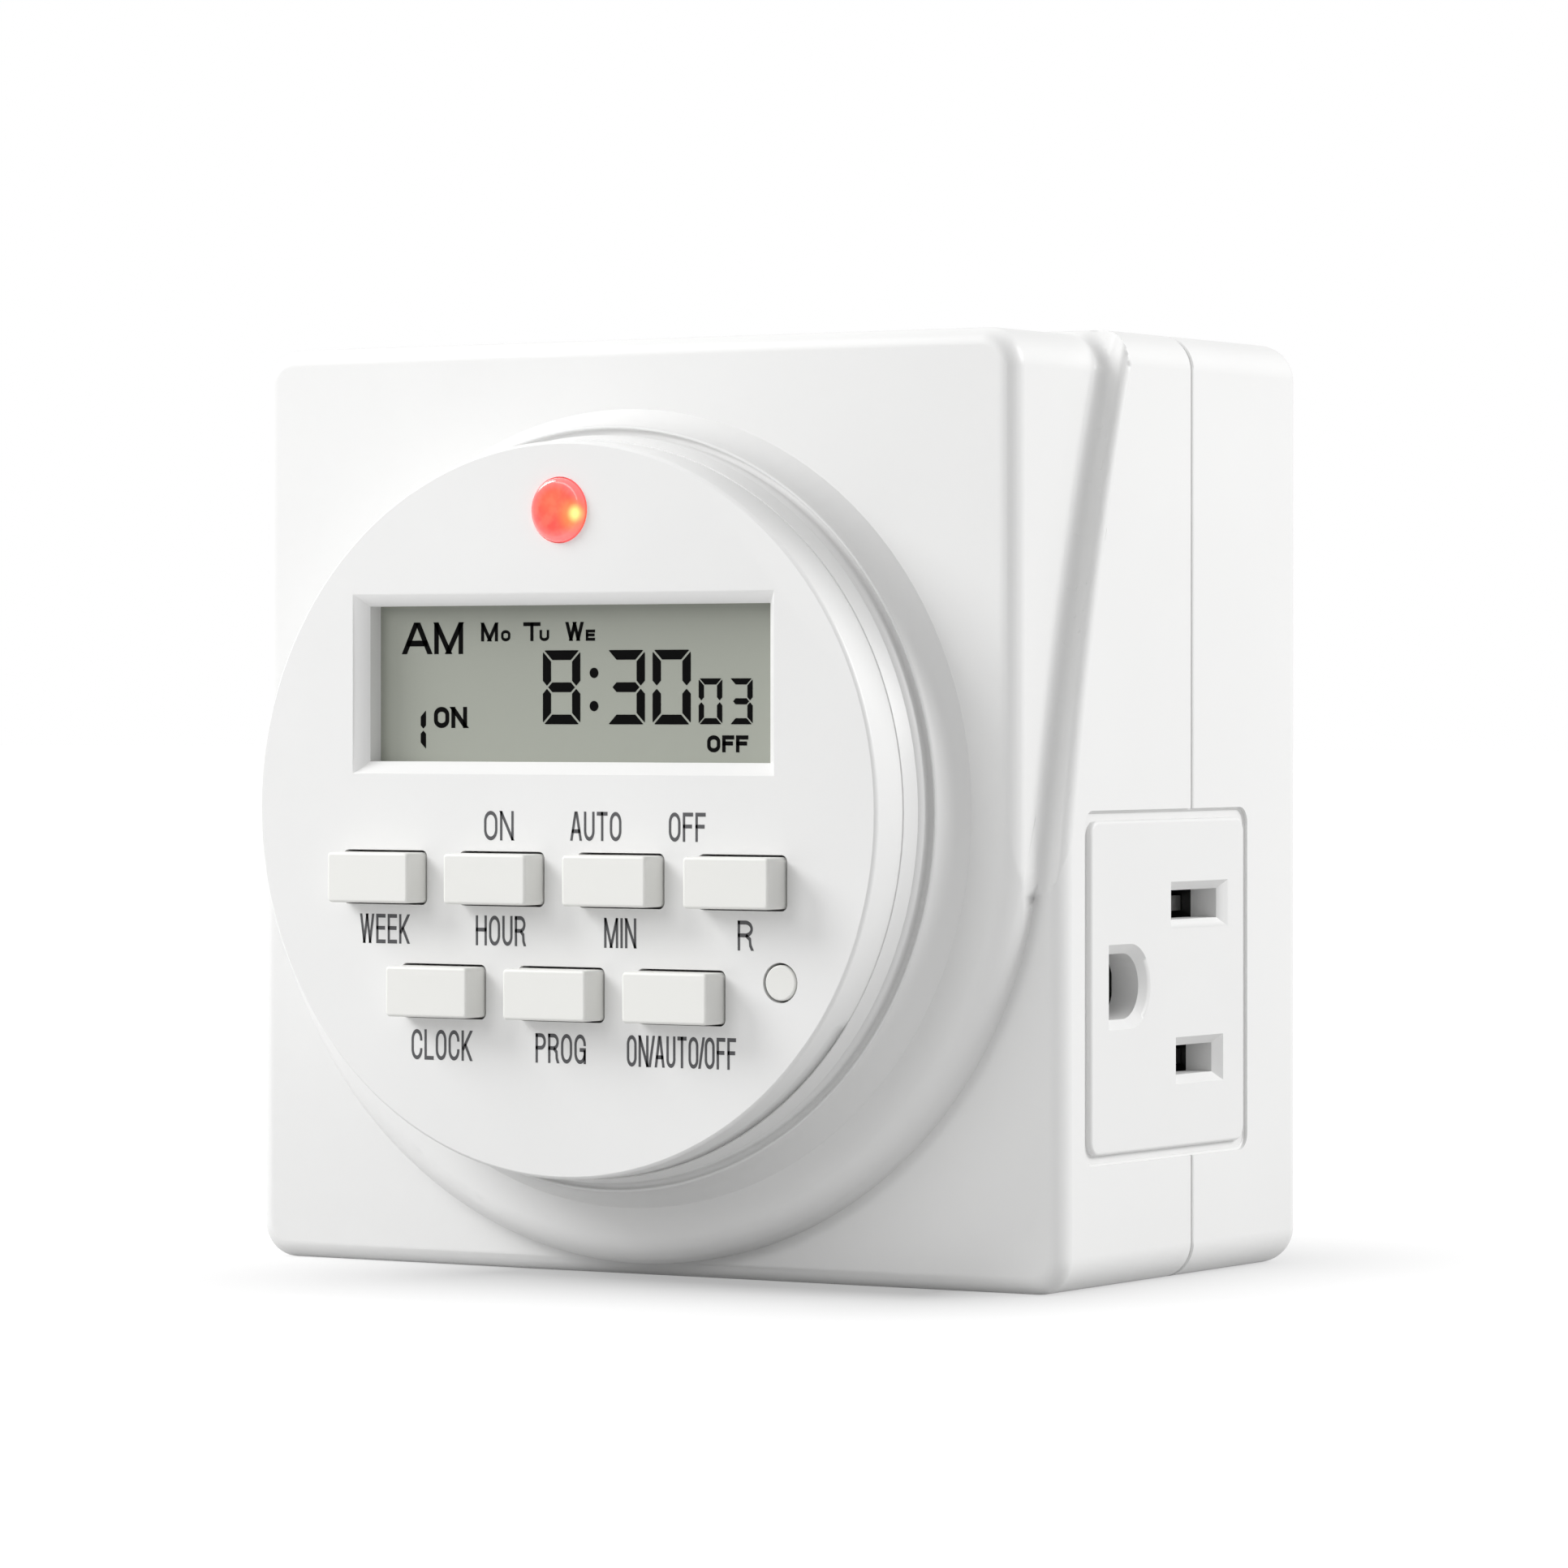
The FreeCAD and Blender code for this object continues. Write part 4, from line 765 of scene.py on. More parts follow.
def letter_strokes(width: float) -> dict[str, list[list[Point]]]:
    """Middle lines of plain sans letters, in a box as wide as given and 1 high.

    Straight stems are two points, bowls are about half an ellipse, and a ring ends on its first point.

    Args:
        width: The box's width.

    Returns:
        The strokes of each letter.
    """
    w = width
    half = w / 2
    bar, waist = BAR_HEIGHT, WAIST_HEIGHT
    r = min(TALLEST_ROUND, half * ROUND_SHARE)
    lean = min(WIDEST_LEAN, half * LEAN_SHARE)
    stem = [(0, 0), (0, 1)]
    far_stem = [(w, 0), (w, 1)]
    crown = bow(half, 1 - r, half, r, 180, 0)
    base = bow(half, r, half, r, 0, -180)
    hook = bow(half, 1 - r, half, r, -6, 180)
    bowl = [(0, 1)] + bow(w * 0.52, 0.755, w * 0.48, 0.245, 90, -90) + [(0, waist)]
    return {
        "A": [[(0, 0), (half - lean / 2, 1)], [(w, 0), (half + lean / 2, 1)],
              [(w * 0.16, 0.3), (w * 0.84, 0.3)]],
        "C": [hook + bow(half, r, half, r, 180, 366)],
        "E": [[(w, 1), (0, 1), (0, 0), (w, 0)], [(0, bar), (w * 0.93, bar)]],
        "F": [[(w, 1), (0, 1), (0, 0)], [(0, bar), (w * 0.86, bar)]],
        "G": [hook + bow(half, r, half, r, 180, 342) + [(w, 0.2), (w, 0.47), (half * 1.15, 0.47)],
              [(w, 0.47), (w, 0)]],
        "H": [stem, far_stem, [(0, bar), (w, bar)]],
        "I": [[(half, 0), (half, 1)]],
        "K": [stem, [(w * 0.02, 0.34), (w, 1)], [(w * 0.3, 0.56), (w, 0)]],
        "L": [[(0, 1), (0, 0), (w, 0)]],
        "M": [stem, [(lean * 0.2, 1), (half, 0)], [(w - lean * 0.2, 1), (half, 0)], far_stem],
        "N": [stem, [(lean * 0.2, 1), (w - lean * 0.2, 0)], far_stem],
        "O": [crown + base + crown[:1]],
        "P": [stem, bowl],
        "R": [stem, bowl, [(w * 0.55, waist), (w * 0.86, 0.36), (w * 0.9, 0.12), (w, 0)]],
        "T": [[(0, 1), (w, 1)], [(half, 1), (half, 0)]],
        "U": [[(0, 1)] + bow(half, r, half, r, 180, 360) + [(w, 1)]],
        "W": [[(0, 1), (w * 0.25, 0)], [(half, 1), (w * 0.25, 0)], [(half, 1), (w * 0.75, 0)],
              [(w, 1), (w * 0.75, 0)]],
        "/": [[(0, 0), (w, 1)]],
    }


LETTER_SHARES = {"A": 0.98, "C": 1.02, "E": 0.9, "F": 0.88, "G": 1.03, "I": 0.22, "K": 0.95, "L": 0.86,
                 "M": 1.28, "N": 1.02, "P": 0.93, "R": 0.96, "T": 0.93, "U": 0.92, "W": 1.34, "/": 0.62}
LETTER_GAP = 0.21
SLASH_GAP = 0.02
UPRIGHT_FROM = 0.5
LEVEL_UNDER = 0.2
SAME_HEIGHT = 1e-9
SAME_POINT = 1e-7


def squared_ends(path: np.ndarray, edges: np.ndarray, half_stroke: float, low: float, high: float) -> None:
    """Cuts a stroke's two ends along the letter's box, in place.

    An upright end at the box's foot or head slides along its edges to that line; a level end grows by half
    the stroke; an end inside the letter stays.

    Args:
        path: The stroke's middle line.
        edges: Its left and right edges, which change.
        half_stroke: Half its width.
        low: The box's foot.
        high: The box's head.
    """
    for end, beside in ((0, 1), (-1, -2)):
        way = path[end] - path[beside]
        way /= np.linalg.norm(way)
        for line, limit in ((low + half_stroke, low), (high - half_stroke, high)):
            if abs(path[end][1] - line) < SAME_HEIGHT and abs(way[1]) > UPRIGHT_FROM:
                slide = (limit - edges[end][:, 1]) / way[1]
                edges[end] = edges[end] + slide[:, None] * way
        if abs(way[1]) < LEVEL_UNDER:
            edges[end] = edges[end] + way * half_stroke


def word(text: str, box: Box, pen: Pen, layer: Layer) -> Surface:
    """A word in plain stroke letters, spaced to fill a box.

    The letters are drawn with an even pen in a wider space and then squeezed across, so that upright
    strokes come out thinner than level ones.

    Args:
        text: Capital letters.
        box: The box that the word fills.
        pen: The pen that draws it.
        layer: The layer that the strokes fill.

    Returns:
        The points and the faces.
    """
    shares = [LETTER_SHARES.get(letter, 1.0) for letter in text]
    gaps = [SLASH_GAP if "/" in pair else LETTER_GAP for pair in zip(text, text[1:])]
    unit = box.width / pen.squeeze / (sum(shares) + sum(gaps))
    half_stroke = pen.stroke / 2
    inner_height = box.height - pen.stroke
    cursor = 0.0
    parts = []
    for letter, share, gap in zip(text, shares, gaps + [0.0]):
        letter_width = max(unit * share - pen.stroke, 0.0)
        for line in letter_strokes(letter_width / inner_height)[letter]:
            path = np.array(line) * inner_height + np.array([cursor + half_stroke, box.low + half_stroke])
            path = path[np.concatenate([[True], np.linalg.norm(np.diff(path, axis=0), axis=1) > SAME_POINT])]
            closed = bool(np.linalg.norm(path[0] - path[-1]) < SAME_POINT)
            if closed:
                path = path[:-1]
            edges = carried_section(path, half_stroke, closed)
            if not closed:
                squared_ends(path, edges, half_stroke, box.low, box.low + box.height)
            edges[..., 0] = box.left + edges[..., 0] * pen.squeeze
            parts.append(ribbon_prism(edges, layer, closed))
        cursor += unit * (share + gap)
    return joined(parts)


SEGMENTS = {"0": "abcdef", "1": "bc", "3": "abcdg", "8": "abcdefg"}
SEGMENT_CORNER = 0.4
CORNER_STEPS = 6


def segment_outlines(width: float, height: float, stroke: float, gap: float) -> dict[str, np.ndarray]:
    """Outlines (x, z) of a digit's seven segments in a box with its corner at the origin.

    The outer corners are rounded, neighbours meet at 45 degrees across a hair gap, and the ends at the
    middle are pointed.

    Args:
        width: The digit's width.
        height: The digit's height.
        stroke: A segment's thickness.
        gap: The hair gap, square to the cut.

    Returns:
        The outline of each segment by its letter.
    """
    corner = stroke * SEGMENT_CORNER
    shift = gap / math.sqrt(2)
    spread = math.degrees(math.asin(gap / 2 / corner))
    middle = height / 2
    right_low, right_high = 45 - spread, 45 + spread
    place = (width - corner, height - corner)
    top = np.concatenate([arc(place, corner, right_high, 90, CORNER_STEPS),
                          arc((corner, height - corner), corner, 90, 180 - right_high, CORNER_STEPS),
                          [(stroke + shift, height - stroke), (width - stroke - shift, height - stroke)]])
    side = np.concatenate([arc(place, corner, 0, right_low, CORNER_STEPS),
                           [(width - stroke, height - stroke - shift),
                            (width - stroke, middle + stroke / 2 + shift),
                            (width - stroke / 2, middle + shift),
                            (width, middle + stroke / 2 + shift)]])
    half_bar = np.array([(width - stroke - shift, middle + stroke / 2), (width - stroke / 2 - shift, middle),
                         (width - stroke - shift, middle - stroke / 2)])
    across = np.array([width, 0.0]), np.array([-1.0, 1.0])
    upright = np.array([0.0, height]), np.array([1.0, -1.0])
    lower_side = upright[0] + side * upright[1]
    return {
        "a": top, "b": side, "c": lower_side, "d": upright[0] + top * upright[1],
        "e": across[0] + lower_side * across[1], "f": across[0] + side * across[1],
        "g": np.concatenate([half_bar, (across[0] + half_bar * across[1])[::-1]]),
    }


def digit(text: str, box: Box, stroke: float, gap: float, layer: Layer) -> Surface:
    """A seven-segment digit that fills a box, as thin plates with hair gaps."""
    outlines = segment_outlines(box.width, box.height, stroke, gap)
    return joined([prism(outlines[name] + np.array([box.left, box.low]), layer) for name in SEGMENTS[text]])


def printed(name: str, parts: Iterable[Surface]) -> bpy.types.Object:
    """Signs as one flat-shaded piece, with no points merged."""
    points, faces = joined(parts)
    return outward(mesh_object(name, points, faces, smooth=False), 0.0)


def place_piece(piece: bpy.types.Object, body: str, material: bpy.types.Material,
                stands_for: Sequence[str] = ()) -> None:
    """Gives a piece its finish and its body, and hides the CAD nodes that it stands for.

    Args:
        piece: The piece.
        body: The body that it rides on.
        material: Its finish.
        stands_for: The nodes that it replaces.
    """
    piece.data.materials.clear()
    piece.data.materials.append(material)
    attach(piece, body)
    if stands_for:
        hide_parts(*stands_for)
    LOG.info("piece %s on %s", piece.name, body)


def paint(node: str, material: bpy.types.Material) -> None:
    """Leaves a CAD node as it is and gives it a finish.

    Args:
        node: The CAD node.
        material: Its finish.
    """
    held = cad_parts[node].data.materials
    if not len(held):
        held.append(material)
    for index in range(len(held)):
        held[index] = material
    LOG.info("node %s painted %s", node, material.name)


SkinChange = Callable[[bmesh.types.BMesh], None]
DOUBLED = 2e-7
ONE_PLANE = math.radians(0.05)
SHARP_FROM = math.radians(26.0)


def smoothed_node(node: str, change: SkinChange | None = None) -> bpy.types.Object:
    """A copy of a CAD node's mesh, merged to one skin and shaded smooth up to the sharp angle.

    Triangles in one plane become one face, so that a flat side outweighs the small rounds beside it.

    Args:
        node: The CAD node.
        change: What else is done to the merged skin.

    Returns:
        The new object.
    """
    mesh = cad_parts[node].data.copy()
    mesh.name = node + "_skin"
    made = bpy.data.objects.new(node + "_skin", mesh)
    bpy.context.scene.collection.objects.link(made)
    work = bmesh.new()
    work.from_mesh(mesh)
    bmesh.ops.remove_doubles(work, verts=work.verts, dist=DOUBLED)
    if change:
        change(work)
    bmesh.ops.dissolve_limit(work, angle_limit=ONE_PLANE, verts=work.verts, edges=work.edges)
    work.to_mesh(mesh)
    work.free()
    mesh.shade_smooth()
    mesh.set_sharp_from_angle(angle=SHARP_FROM)
    weighted = made.modifiers.new("even_normals", "WEIGHTED_NORMAL")
    weighted.keep_sharp = True
    return made


def dress(node: str, material: bpy.types.Material, body: str = "housing",
          change: SkinChange | None = None) -> None:
    """Stands a smooth copy in for a CAD node.

    Args:
        node: The CAD node.
        material: The copy's finish.
        body: The body that it rides on.
        change: What else is done to its skin.
    """
    place_piece(smoothed_node(node, change), body, material, [node])


class Finishes:
    """The timer's plastics, inks and metals, each built once."""

    def __init__(self) -> None:
        """Builds the materials that the sub-assemblies share."""
        self.housing = MouldedPlastic("housing_white", (0.80, 0.80, 0.795)).build()
        self.outlet = OutletPlastic("outlet_white", (0.78, 0.78, 0.775), roughness=0.42).build()
        self.key = MouldedPlastic("key_white", (0.79, 0.79, 0.765), roughness=0.46).build()
        self.inner = MouldedPlastic("inner_white", (0.62, 0.62, 0.6), roughness=0.5).build()
        self.ink = PrintedInk("label_ink", (0.085, 0.085, 0.09)).build()
        self.segment = PrintedInk("segment_black", (0.004, 0.004, 0.004), roughness=0.85, cover=0.01,
                                  shine=0.03).build()
        self.brass = PlatedMetal("contact_brass", (0.6, 0.5, 0.3)).build()
        self.contact = PlatedMetal("contact_nickel", (0.55, 0.55, 0.54), roughness=0.4).build()
        self.blade = PlatedMetal("blade_nickel", (0.62, 0.6, 0.55)).build()
        self.steel = PlatedMetal("screw_steel", (0.5, 0.5, 0.51), roughness=0.35).build()
        self.black = MouldedPlastic("carrier_black", (0.025, 0.025, 0.027), roughness=0.5).build()


@dataclass(frozen=True)
class SideStep:
    """The curved step beside the raised block: a wall round an axis along X, a hollow foot and a round edge.

    A point's rho is its distance from the axis, and its reach is its distance from the middle plane. The
    edge is a circle about reach = half_width - edge, rho = radius - edge, and the foot one about
    reach = block_half + foot, rho = radius + foot. Below straight_from the block's side turns in along a
    circle of radius blend.
    """

    axis_y: float = 0.2066871
    axis_z: float = -0.0013428
    radius: float = 0.2299529
    foot: float = 0.0012
    edge: float = 0.0008
    block_half: float = 0.03675
    half_width: float = 0.0393
    straight_from: float = 0.03379
    blend: float = 0.02
    low_from: float = 0.0318
    near: float = 4e-6
    near_side: float = 1e-5
    flat_from: float = 0.9998
    longest: float = 0.0005
    rounds: int = 8
    top_round_from: float = 0.0743
    furthest: float = 0.00003

    def holds(self, face: bmesh.types.BMFace) -> bool:
        """Whether a face lies in the wall, its foot or its edge, and isn't a flat face beside them.

        Args:
            face: The face.

        Returns:
            True for a face of the step.
        """
        places = [vert.co for vert in face.verts]
        rho = [math.hypot(place.y - self.axis_y, place.z - self.axis_z) for place in places]
        reach = [abs(place.x) + self.blend_shift(place) for place in places]
        close = max(abs(each - self.radius) for each in rho) < self.foot + self.near
        outer = min(reach) > self.block_half - self.near_side
        above = min(place.z for place in places) > self.low_from
        flat = max(abs(face.normal.x), abs(face.normal.z)) > self.flat_from
        return close and outer and above and not flat

    def blend_shift(self, place: Any) -> float:
        """How far the block's side has turned in at a height: b - sqrt(b^2 - dz^2)."""
        below = max(self.straight_from - place.z, 0.0)
        return self.blend - math.sqrt(self.blend ** 2 - min(below, self.blend) ** 2)

    def refine(self, work: bmesh.types.BMesh) -> None:
        """Splits the step's long triangles and moves the new points onto the exact surface.

        Args:
            work: The front shell's skin, which changes.
        """
        for _ in range(self.rounds):
            around = {edge for face in work.faces if self.holds(face) for edge in face.edges}
            edges = [edge for edge in around if edge.calc_length() > self.longest]
            if not edges:
                break
            bmesh.ops.subdivide_edges(work, edges=edges, cuts=1)
            wide = [face for face in work.faces if len(face.verts) > 3]
            bmesh.ops.triangulate(work, faces=wide)
            self.settle({vert for face in work.faces if self.holds(face) for vert in face.verts})

    def settle(self, verts: Iterable[bmesh.types.BMVert]) -> None:
        """Moves points onto the round of the part that they lie in; by the top corner only ones close to it.

        Args:
            verts: The points, which move.
        """
        for vert in verts:
            side = math.copysign(1.0, vert.co.x)
            reach = abs(vert.co.x)
            up_y, up_z = vert.co.y - self.axis_y, vert.co.z - self.axis_z
            rho = math.hypot(up_y, up_z)
            up_y, up_z = up_y / rho, up_z / rho
            across = reach - self.half_width + self.edge
            shift = self.blend_shift(vert.co)
            hollow = self.block_half + self.foot - reach - shift
            if across > 0.0:
                out = rho - self.radius + self.edge
                size = math.hypot(across, out)
                reach = self.half_width - self.edge + self.edge * across / size
                rho = self.radius - self.edge + self.edge * out / size
            elif hollow > 0.0:
                out = self.radius + self.foot - rho
                size = math.hypot(hollow, out)
                reach = self.block_half + self.foot - shift - self.foot * hollow / size
                rho = self.radius + self.foot - self.foot * out / size
            else:
                rho = self.radius
            place = (side * reach, self.axis_y + rho * up_y, self.axis_z + rho * up_z)
            if vert.co.z < self.top_round_from or math.dist(place, vert.co) < self.furthest:
                vert.co = place


@dataclass(frozen=True)
class BossGutter:
    """The narrow gutter round the ring that carries the dial cap.

    Lengths are in millimetres; a height is counted from the block's face towards the dial cap.
    """

    axis_z: float = 38.5
    block_y: float = -24.0
    ring_radius: float = 30.4
    ring_height: float = 4.5
    ring_gap: float = 0.02
    rim_radius: float = 31.15
    rim_height: float = 3.1
    floor_height: float = 2.6
    inner_round: float = 0.3
    outer_round: float = 0.17
    lip_round: float = 0.12
    lip_inset: float = 0.06
    back_height: float = 2.3
    back_inset: float = 0.1
    floor_steps: int = 7
    lip_steps: int = 5
    segments: int = 288
    near: float = 0.012
    sharp: float = 40.0

    def clear(self, work: bmesh.types.BMesh) -> None:
        """Takes the shell's own cove away between the ring and the rim.

        Args:
            work: The front shell's skin, which changes.
        """
        doomed = []
        for face in work.faces:
            radii = [math.hypot(v.co.x, v.co.z - self.axis_z * MM) / MM for v in face.verts]
            heights = [self.block_y - v.co.y / MM for v in face.verts]
            if (self.ring_radius - self.near < min(radii) and max(radii) < self.rim_radius + self.near
                    and self.rim_height - self.near < min(heights)
                    and max(heights) < self.ring_height + self.near):
                doomed.append(face)
        LOG.info("cove faces replaced: %d", len(doomed))
        bmesh.ops.delete(work, geom=doomed, context="FACES")

    def section(self) -> np.ndarray:
        """The closed section: down the ring, round the gutter's floor, up over the lip, and back.

        Returns:
            Points (radius, y) in metres.
        """
        wall = self.ring_radius + self.ring_gap
        lip = self.rim_radius - self.lip_round - self.lip_inset
        floor_inner = arc((wall + self.inner_round, self.floor_height + self.inner_round), self.inner_round,
                          180, 270, self.floor_steps)
        floor_outer = arc((lip - self.outer_round, self.floor_height + self.outer_round), self.outer_round,
                          270, 360, self.lip_steps)
        over = arc((lip + self.lip_round, self.rim_height - self.lip_round), self.lip_round,
                   180, 90, self.lip_steps)
        start = [(self.ring_radius, self.ring_height)]
        back = [(self.rim_radius, self.rim_height), (self.rim_radius, self.back_height),
                (self.ring_radius - self.back_inset, self.back_height),
                (self.ring_radius - self.back_inset, self.ring_height)]
        path = np.concatenate([start, floor_inner, floor_outer, over, back, start])
        return np.column_stack([path[:, 0], self.block_y - path[:, 1]]) * MM

    def build(self) -> bpy.types.Object:
        """The gutter as a closed ring."""
        points, faces = revolve(self.section(), self.axis_z * MM, self.segments)
        return outward(mesh_object("boss_gutter", points, faces, angle=self.sharp))


@dataclass
class Housing:
    """The two moulded shells."""

    finishes: Finishes
    step: SideStep = SideStep()
    gutter: BossGutter = BossGutter()

    def build(self) -> None:
        """Dresses both shells and adds the boss's gutter."""
        dress("front_shell", self.finishes.housing, change=self.refine)
        dress("rear_shell", self.finishes.housing)
        place_piece(self.gutter.build(), "housing", self.finishes.housing)

    def refine(self, work: bmesh.types.BMesh) -> None:
        """Gives the side step a fine and even surface, and opens the boss for its gutter."""
        self.gutter.clear(work)
        self.step.refine(work)


@dataclass(frozen=True)
class Label:
    """One printed word on the dial's face; its middle is counted from the dial axis, in millimetres."""

    text: str
    x: float
    z: float
    width: float
    height: float

    def box(self, axis_z: float) -> Box:
        """The word's box for a height of the dial axis in millimetres."""
        return Box((self.x - self.width / 2) * MM, (axis_z + self.z - self.height / 2) * MM, self.width * MM,
                   self.height * MM)


@dataclass
class Dial:
    """The dial cap with its printed words, keys and reset button; lengths are in millimetres."""

    finishes: Finishes
    axis_z: float = 38.5
    face_y: float = -33.9
    ink_height: float = 0.02
    stroke: float = 0.31
    squeeze: float = 0.7
    labels: tuple[Label, ...] = (
        Label("ON", -5.86, -1.31, 2.88, 2.39),
        Label("AUTO", 3.54, -1.28, 4.88, 2.35),
        Label("OFF", 12.24, -1.27, 3.47, 2.33),
        Label("WEEK", -17.15, -9.85, 4.87, 2.41),
        Label("HOUR", -5.69, -9.83, 4.85, 2.43),
        Label("MIN", 5.87, -9.82, 3.06, 2.41),
        Label("R", 17.69, -9.81, 1.41, 2.38),
        Label("CLOCK", -11.49, -19.24, 5.94, 2.47),
        Label("PROG", 0.15, -19.23, 4.86, 2.38),
        Label("ON/AUTO/OFF", 11.67, -19.23, 10.31, 2.52),
    )
    keys: tuple[str, ...] = ("key_week", "key_hour", "key_minute", "key_random", "key_clock", "key_program",
                             "key_mode", "reset_button")

    def build(self) -> None:
        """Dresses the cap and the keys and prints the words."""
        dress("dial_cap", self.finishes.housing)
        for node in self.keys:
            dress(node, self.finishes.key, body=node)
        pen = Pen(self.stroke * MM, self.squeeze)
        layer = Layer.on(self.face_y, self.ink_height)
        words = [word(label.text, label.box(self.axis_z), pen, layer) for label in self.labels]
        place_piece(printed("dial_words", words), "housing", self.finishes.ink)


@dataclass(frozen=True)
class Sign:
    """One letter or digit on the display: its edges in X and in Z and its stroke, in millimetres."""

    text: str
    x0: float
    x1: float
    z0: float
    z1: float
    stroke: float


@dataclass
class Display:
    """The liquid crystal panel with its segments; lengths are in millimetres."""

    finishes: Finishes
    # The film's painted shade runs from 42.4 mm up to 55.1 mm.
    film: LiquidCrystal = LiquidCrystal("display_film", (0.33, 0.345, 0.30), 0.0424, 0.0551)
    glass_y: float = -31.3
    ink_height: float = 0.02
    squeeze: float = 0.95
    gap_share: float = 0.23
    signs: tuple[Sign, ...] = (
        Sign("A", -17.1, -14.32, 51.15, 53.75, 0.48),
        Sign("M", -14.0, -11.15, 51.15, 53.75, 0.46),
        Sign("M", -9.36, -7.71, 52.17, 53.7, 0.31),
        Sign("O", -7.39, -6.49, 52.17, 53.07, 0.24),
        Sign("T", -5.21, -3.54, 52.17, 53.7, 0.31),
        Sign("U", -3.62, -2.7, 52.17, 53.07, 0.24),
        Sign("W", -1.07, 0.62, 52.17, 53.7, 0.31),
        Sign("E", 0.87, 1.76, 52.17, 53.07, 0.24),
        Sign("O", -14.03, -12.52, 45.09, 46.82, 0.4),
        Sign("N", -12.3, -10.76, 45.09, 46.82, 0.4),
        Sign("O", 12.48, 13.71, 43.19, 44.55, 0.33),
        Sign("F", 13.9, 15.02, 43.19, 44.55, 0.33),
        Sign("F", 15.2, 16.35, 43.19, 44.55, 0.33),
        Sign("8", -3.3, 0.33, 45.41, 51.41, 0.79),
        Sign("3", 2.92, 6.55, 45.41, 51.41, 0.79),
        Sign("0", 7.29, 10.92, 45.41, 51.41, 0.79),
        Sign("0", 11.68, 13.9, 45.43, 49.1, 0.49),
        Sign("3", 14.6, 16.76, 45.43, 49.1, 0.49),
        Sign("1", -16.9, -14.83, 43.29, 46.62, 0.52),
    )
    dots: tuple[Point, ...] = ((1.66, 49.57), (1.66, 46.89))
    dot_radius: float = 0.42
    dot_corners: int = 24

    def build(self) -> None:
        """Dresses the panel and draws what it shows."""
        dress("display_panel", self.film.build())
        layer = Layer.on(self.glass_y, self.ink_height)
        shown = [self.draw(sign, layer) for sign in self.signs]
        shown += [self.dot(*dot, layer) for dot in self.dots]
        place_piece(printed("display_segments", shown), "housing", self.finishes.segment)

    def draw(self, sign: Sign, layer: Layer) -> Surface:
        """Draws a digit in seven segments, or a letter in plain strokes.

        Args:
            sign: What is drawn, and where.
            layer: The layer of the segments.

        Returns:
            The points and the faces.
        """
        box = Box.between(sign.x0, sign.x1, sign.z0, sign.z1)
        if sign.text.isdigit():
            return digit(sign.text, box, sign.stroke * MM, sign.stroke * self.gap_share * MM, layer)
        return word(sign.text, box, Pen(sign.stroke * MM, self.squeeze), layer)

    def dot(self, x: float, z: float, layer: Layer) -> Surface:
        """A round dot of the colon: a short prism on a circle."""
        last = 360 - 360 / self.dot_corners
        return prism(arc((x * MM, z * MM), self.dot_radius * MM, 0, last, self.dot_corners), layer)


@dataclass
class Lamp:
    """The round red lamp above the display."""

    lens: LampLens = LampLens("lamp_red", (0.0, -0.0344, 0.0627), 0.0026)

    def build(self) -> None:
        """Dresses the lens."""
        dress("indicator_lamp", self.lens.build())


@dataclass
class Outlets:
    """Both outlet inserts with their contacts, and the ledge in the shell round each insert.

    Lengths are in millimetres.
    """

    finishes: Finishes
    front: float = -17.35
    back: float = 10.2
    low: float = 10.2
    high: float = 38.4
    corner: float = 1.2
    corner_steps: int = 9
    inset: float = 0.1
    outset: float = 0.14
    ledge_top: float = 39.02
    ledge_foot: float = 38.6

    def ledge(self, side: Side) -> bpy.types.Object:
        """Carries a small rectangle round a rounded rectangle, whose corners are arcs about one centre each.

        Args:
            side: The outlet's side.

        Returns:
            The closed ledge.
        """
        inner, outer = self.corner - self.inset, self.corner + self.outset
        section = [(inner, self.ledge_top), (outer, self.ledge_top), (outer, self.ledge_foot),
                   (inner, self.ledge_foot), (inner, self.ledge_top)]
        near_y, far_y = self.front + self.corner, self.back - self.corner
        near_z, far_z = self.low + self.corner, self.high - self.corner
        centres = [(far_y, far_z), (near_y, far_z), (near_y, near_z), (far_y, near_z)]
        rows = []
        for radius, away in section:
            ring = np.concatenate([arc(centre, radius, 90.0 * turn, 90.0 * turn + 90.0, self.corner_steps)
                                   for turn, centre in enumerate(centres)])
            rows.append(np.column_stack([np.full(len(ring), side.value * away), ring]))
        points = np.concatenate(rows) * MM
        faces = grid_faces(len(section), len(ring), True)
        return outward(mesh_object("outlet_ledge_" + side.name.lower(), points, faces))

    def build(self) -> None:
        """Dresses the inserts and contacts of each side."""
        for side in Side:
            name = side.name.lower()
            dress("outlet_" + name, self.finishes.outlet)
            place_piece(self.ledge(side), "housing", self.finishes.housing)
            for kind in ("neutral", "line", "ground"):
                paint(kind + "_contact_" + name, self.finishes.contact)


@dataclass
class Plug:
    """The blades, the pin and the screws at the back."""

    finishes: Finishes

    def build(self) -> None:
        """Dresses the metal and the carrier."""
        for node in ("line_blade", "neutral_blade", "ground_pin"):
            dress(node, self.finishes.blade)
        paint("blade_carrier", self.finishes.black)
        for node in ("housing_screws", "display_board_screws", "power_board_screws"):
            paint(node, self.finishes.steel)


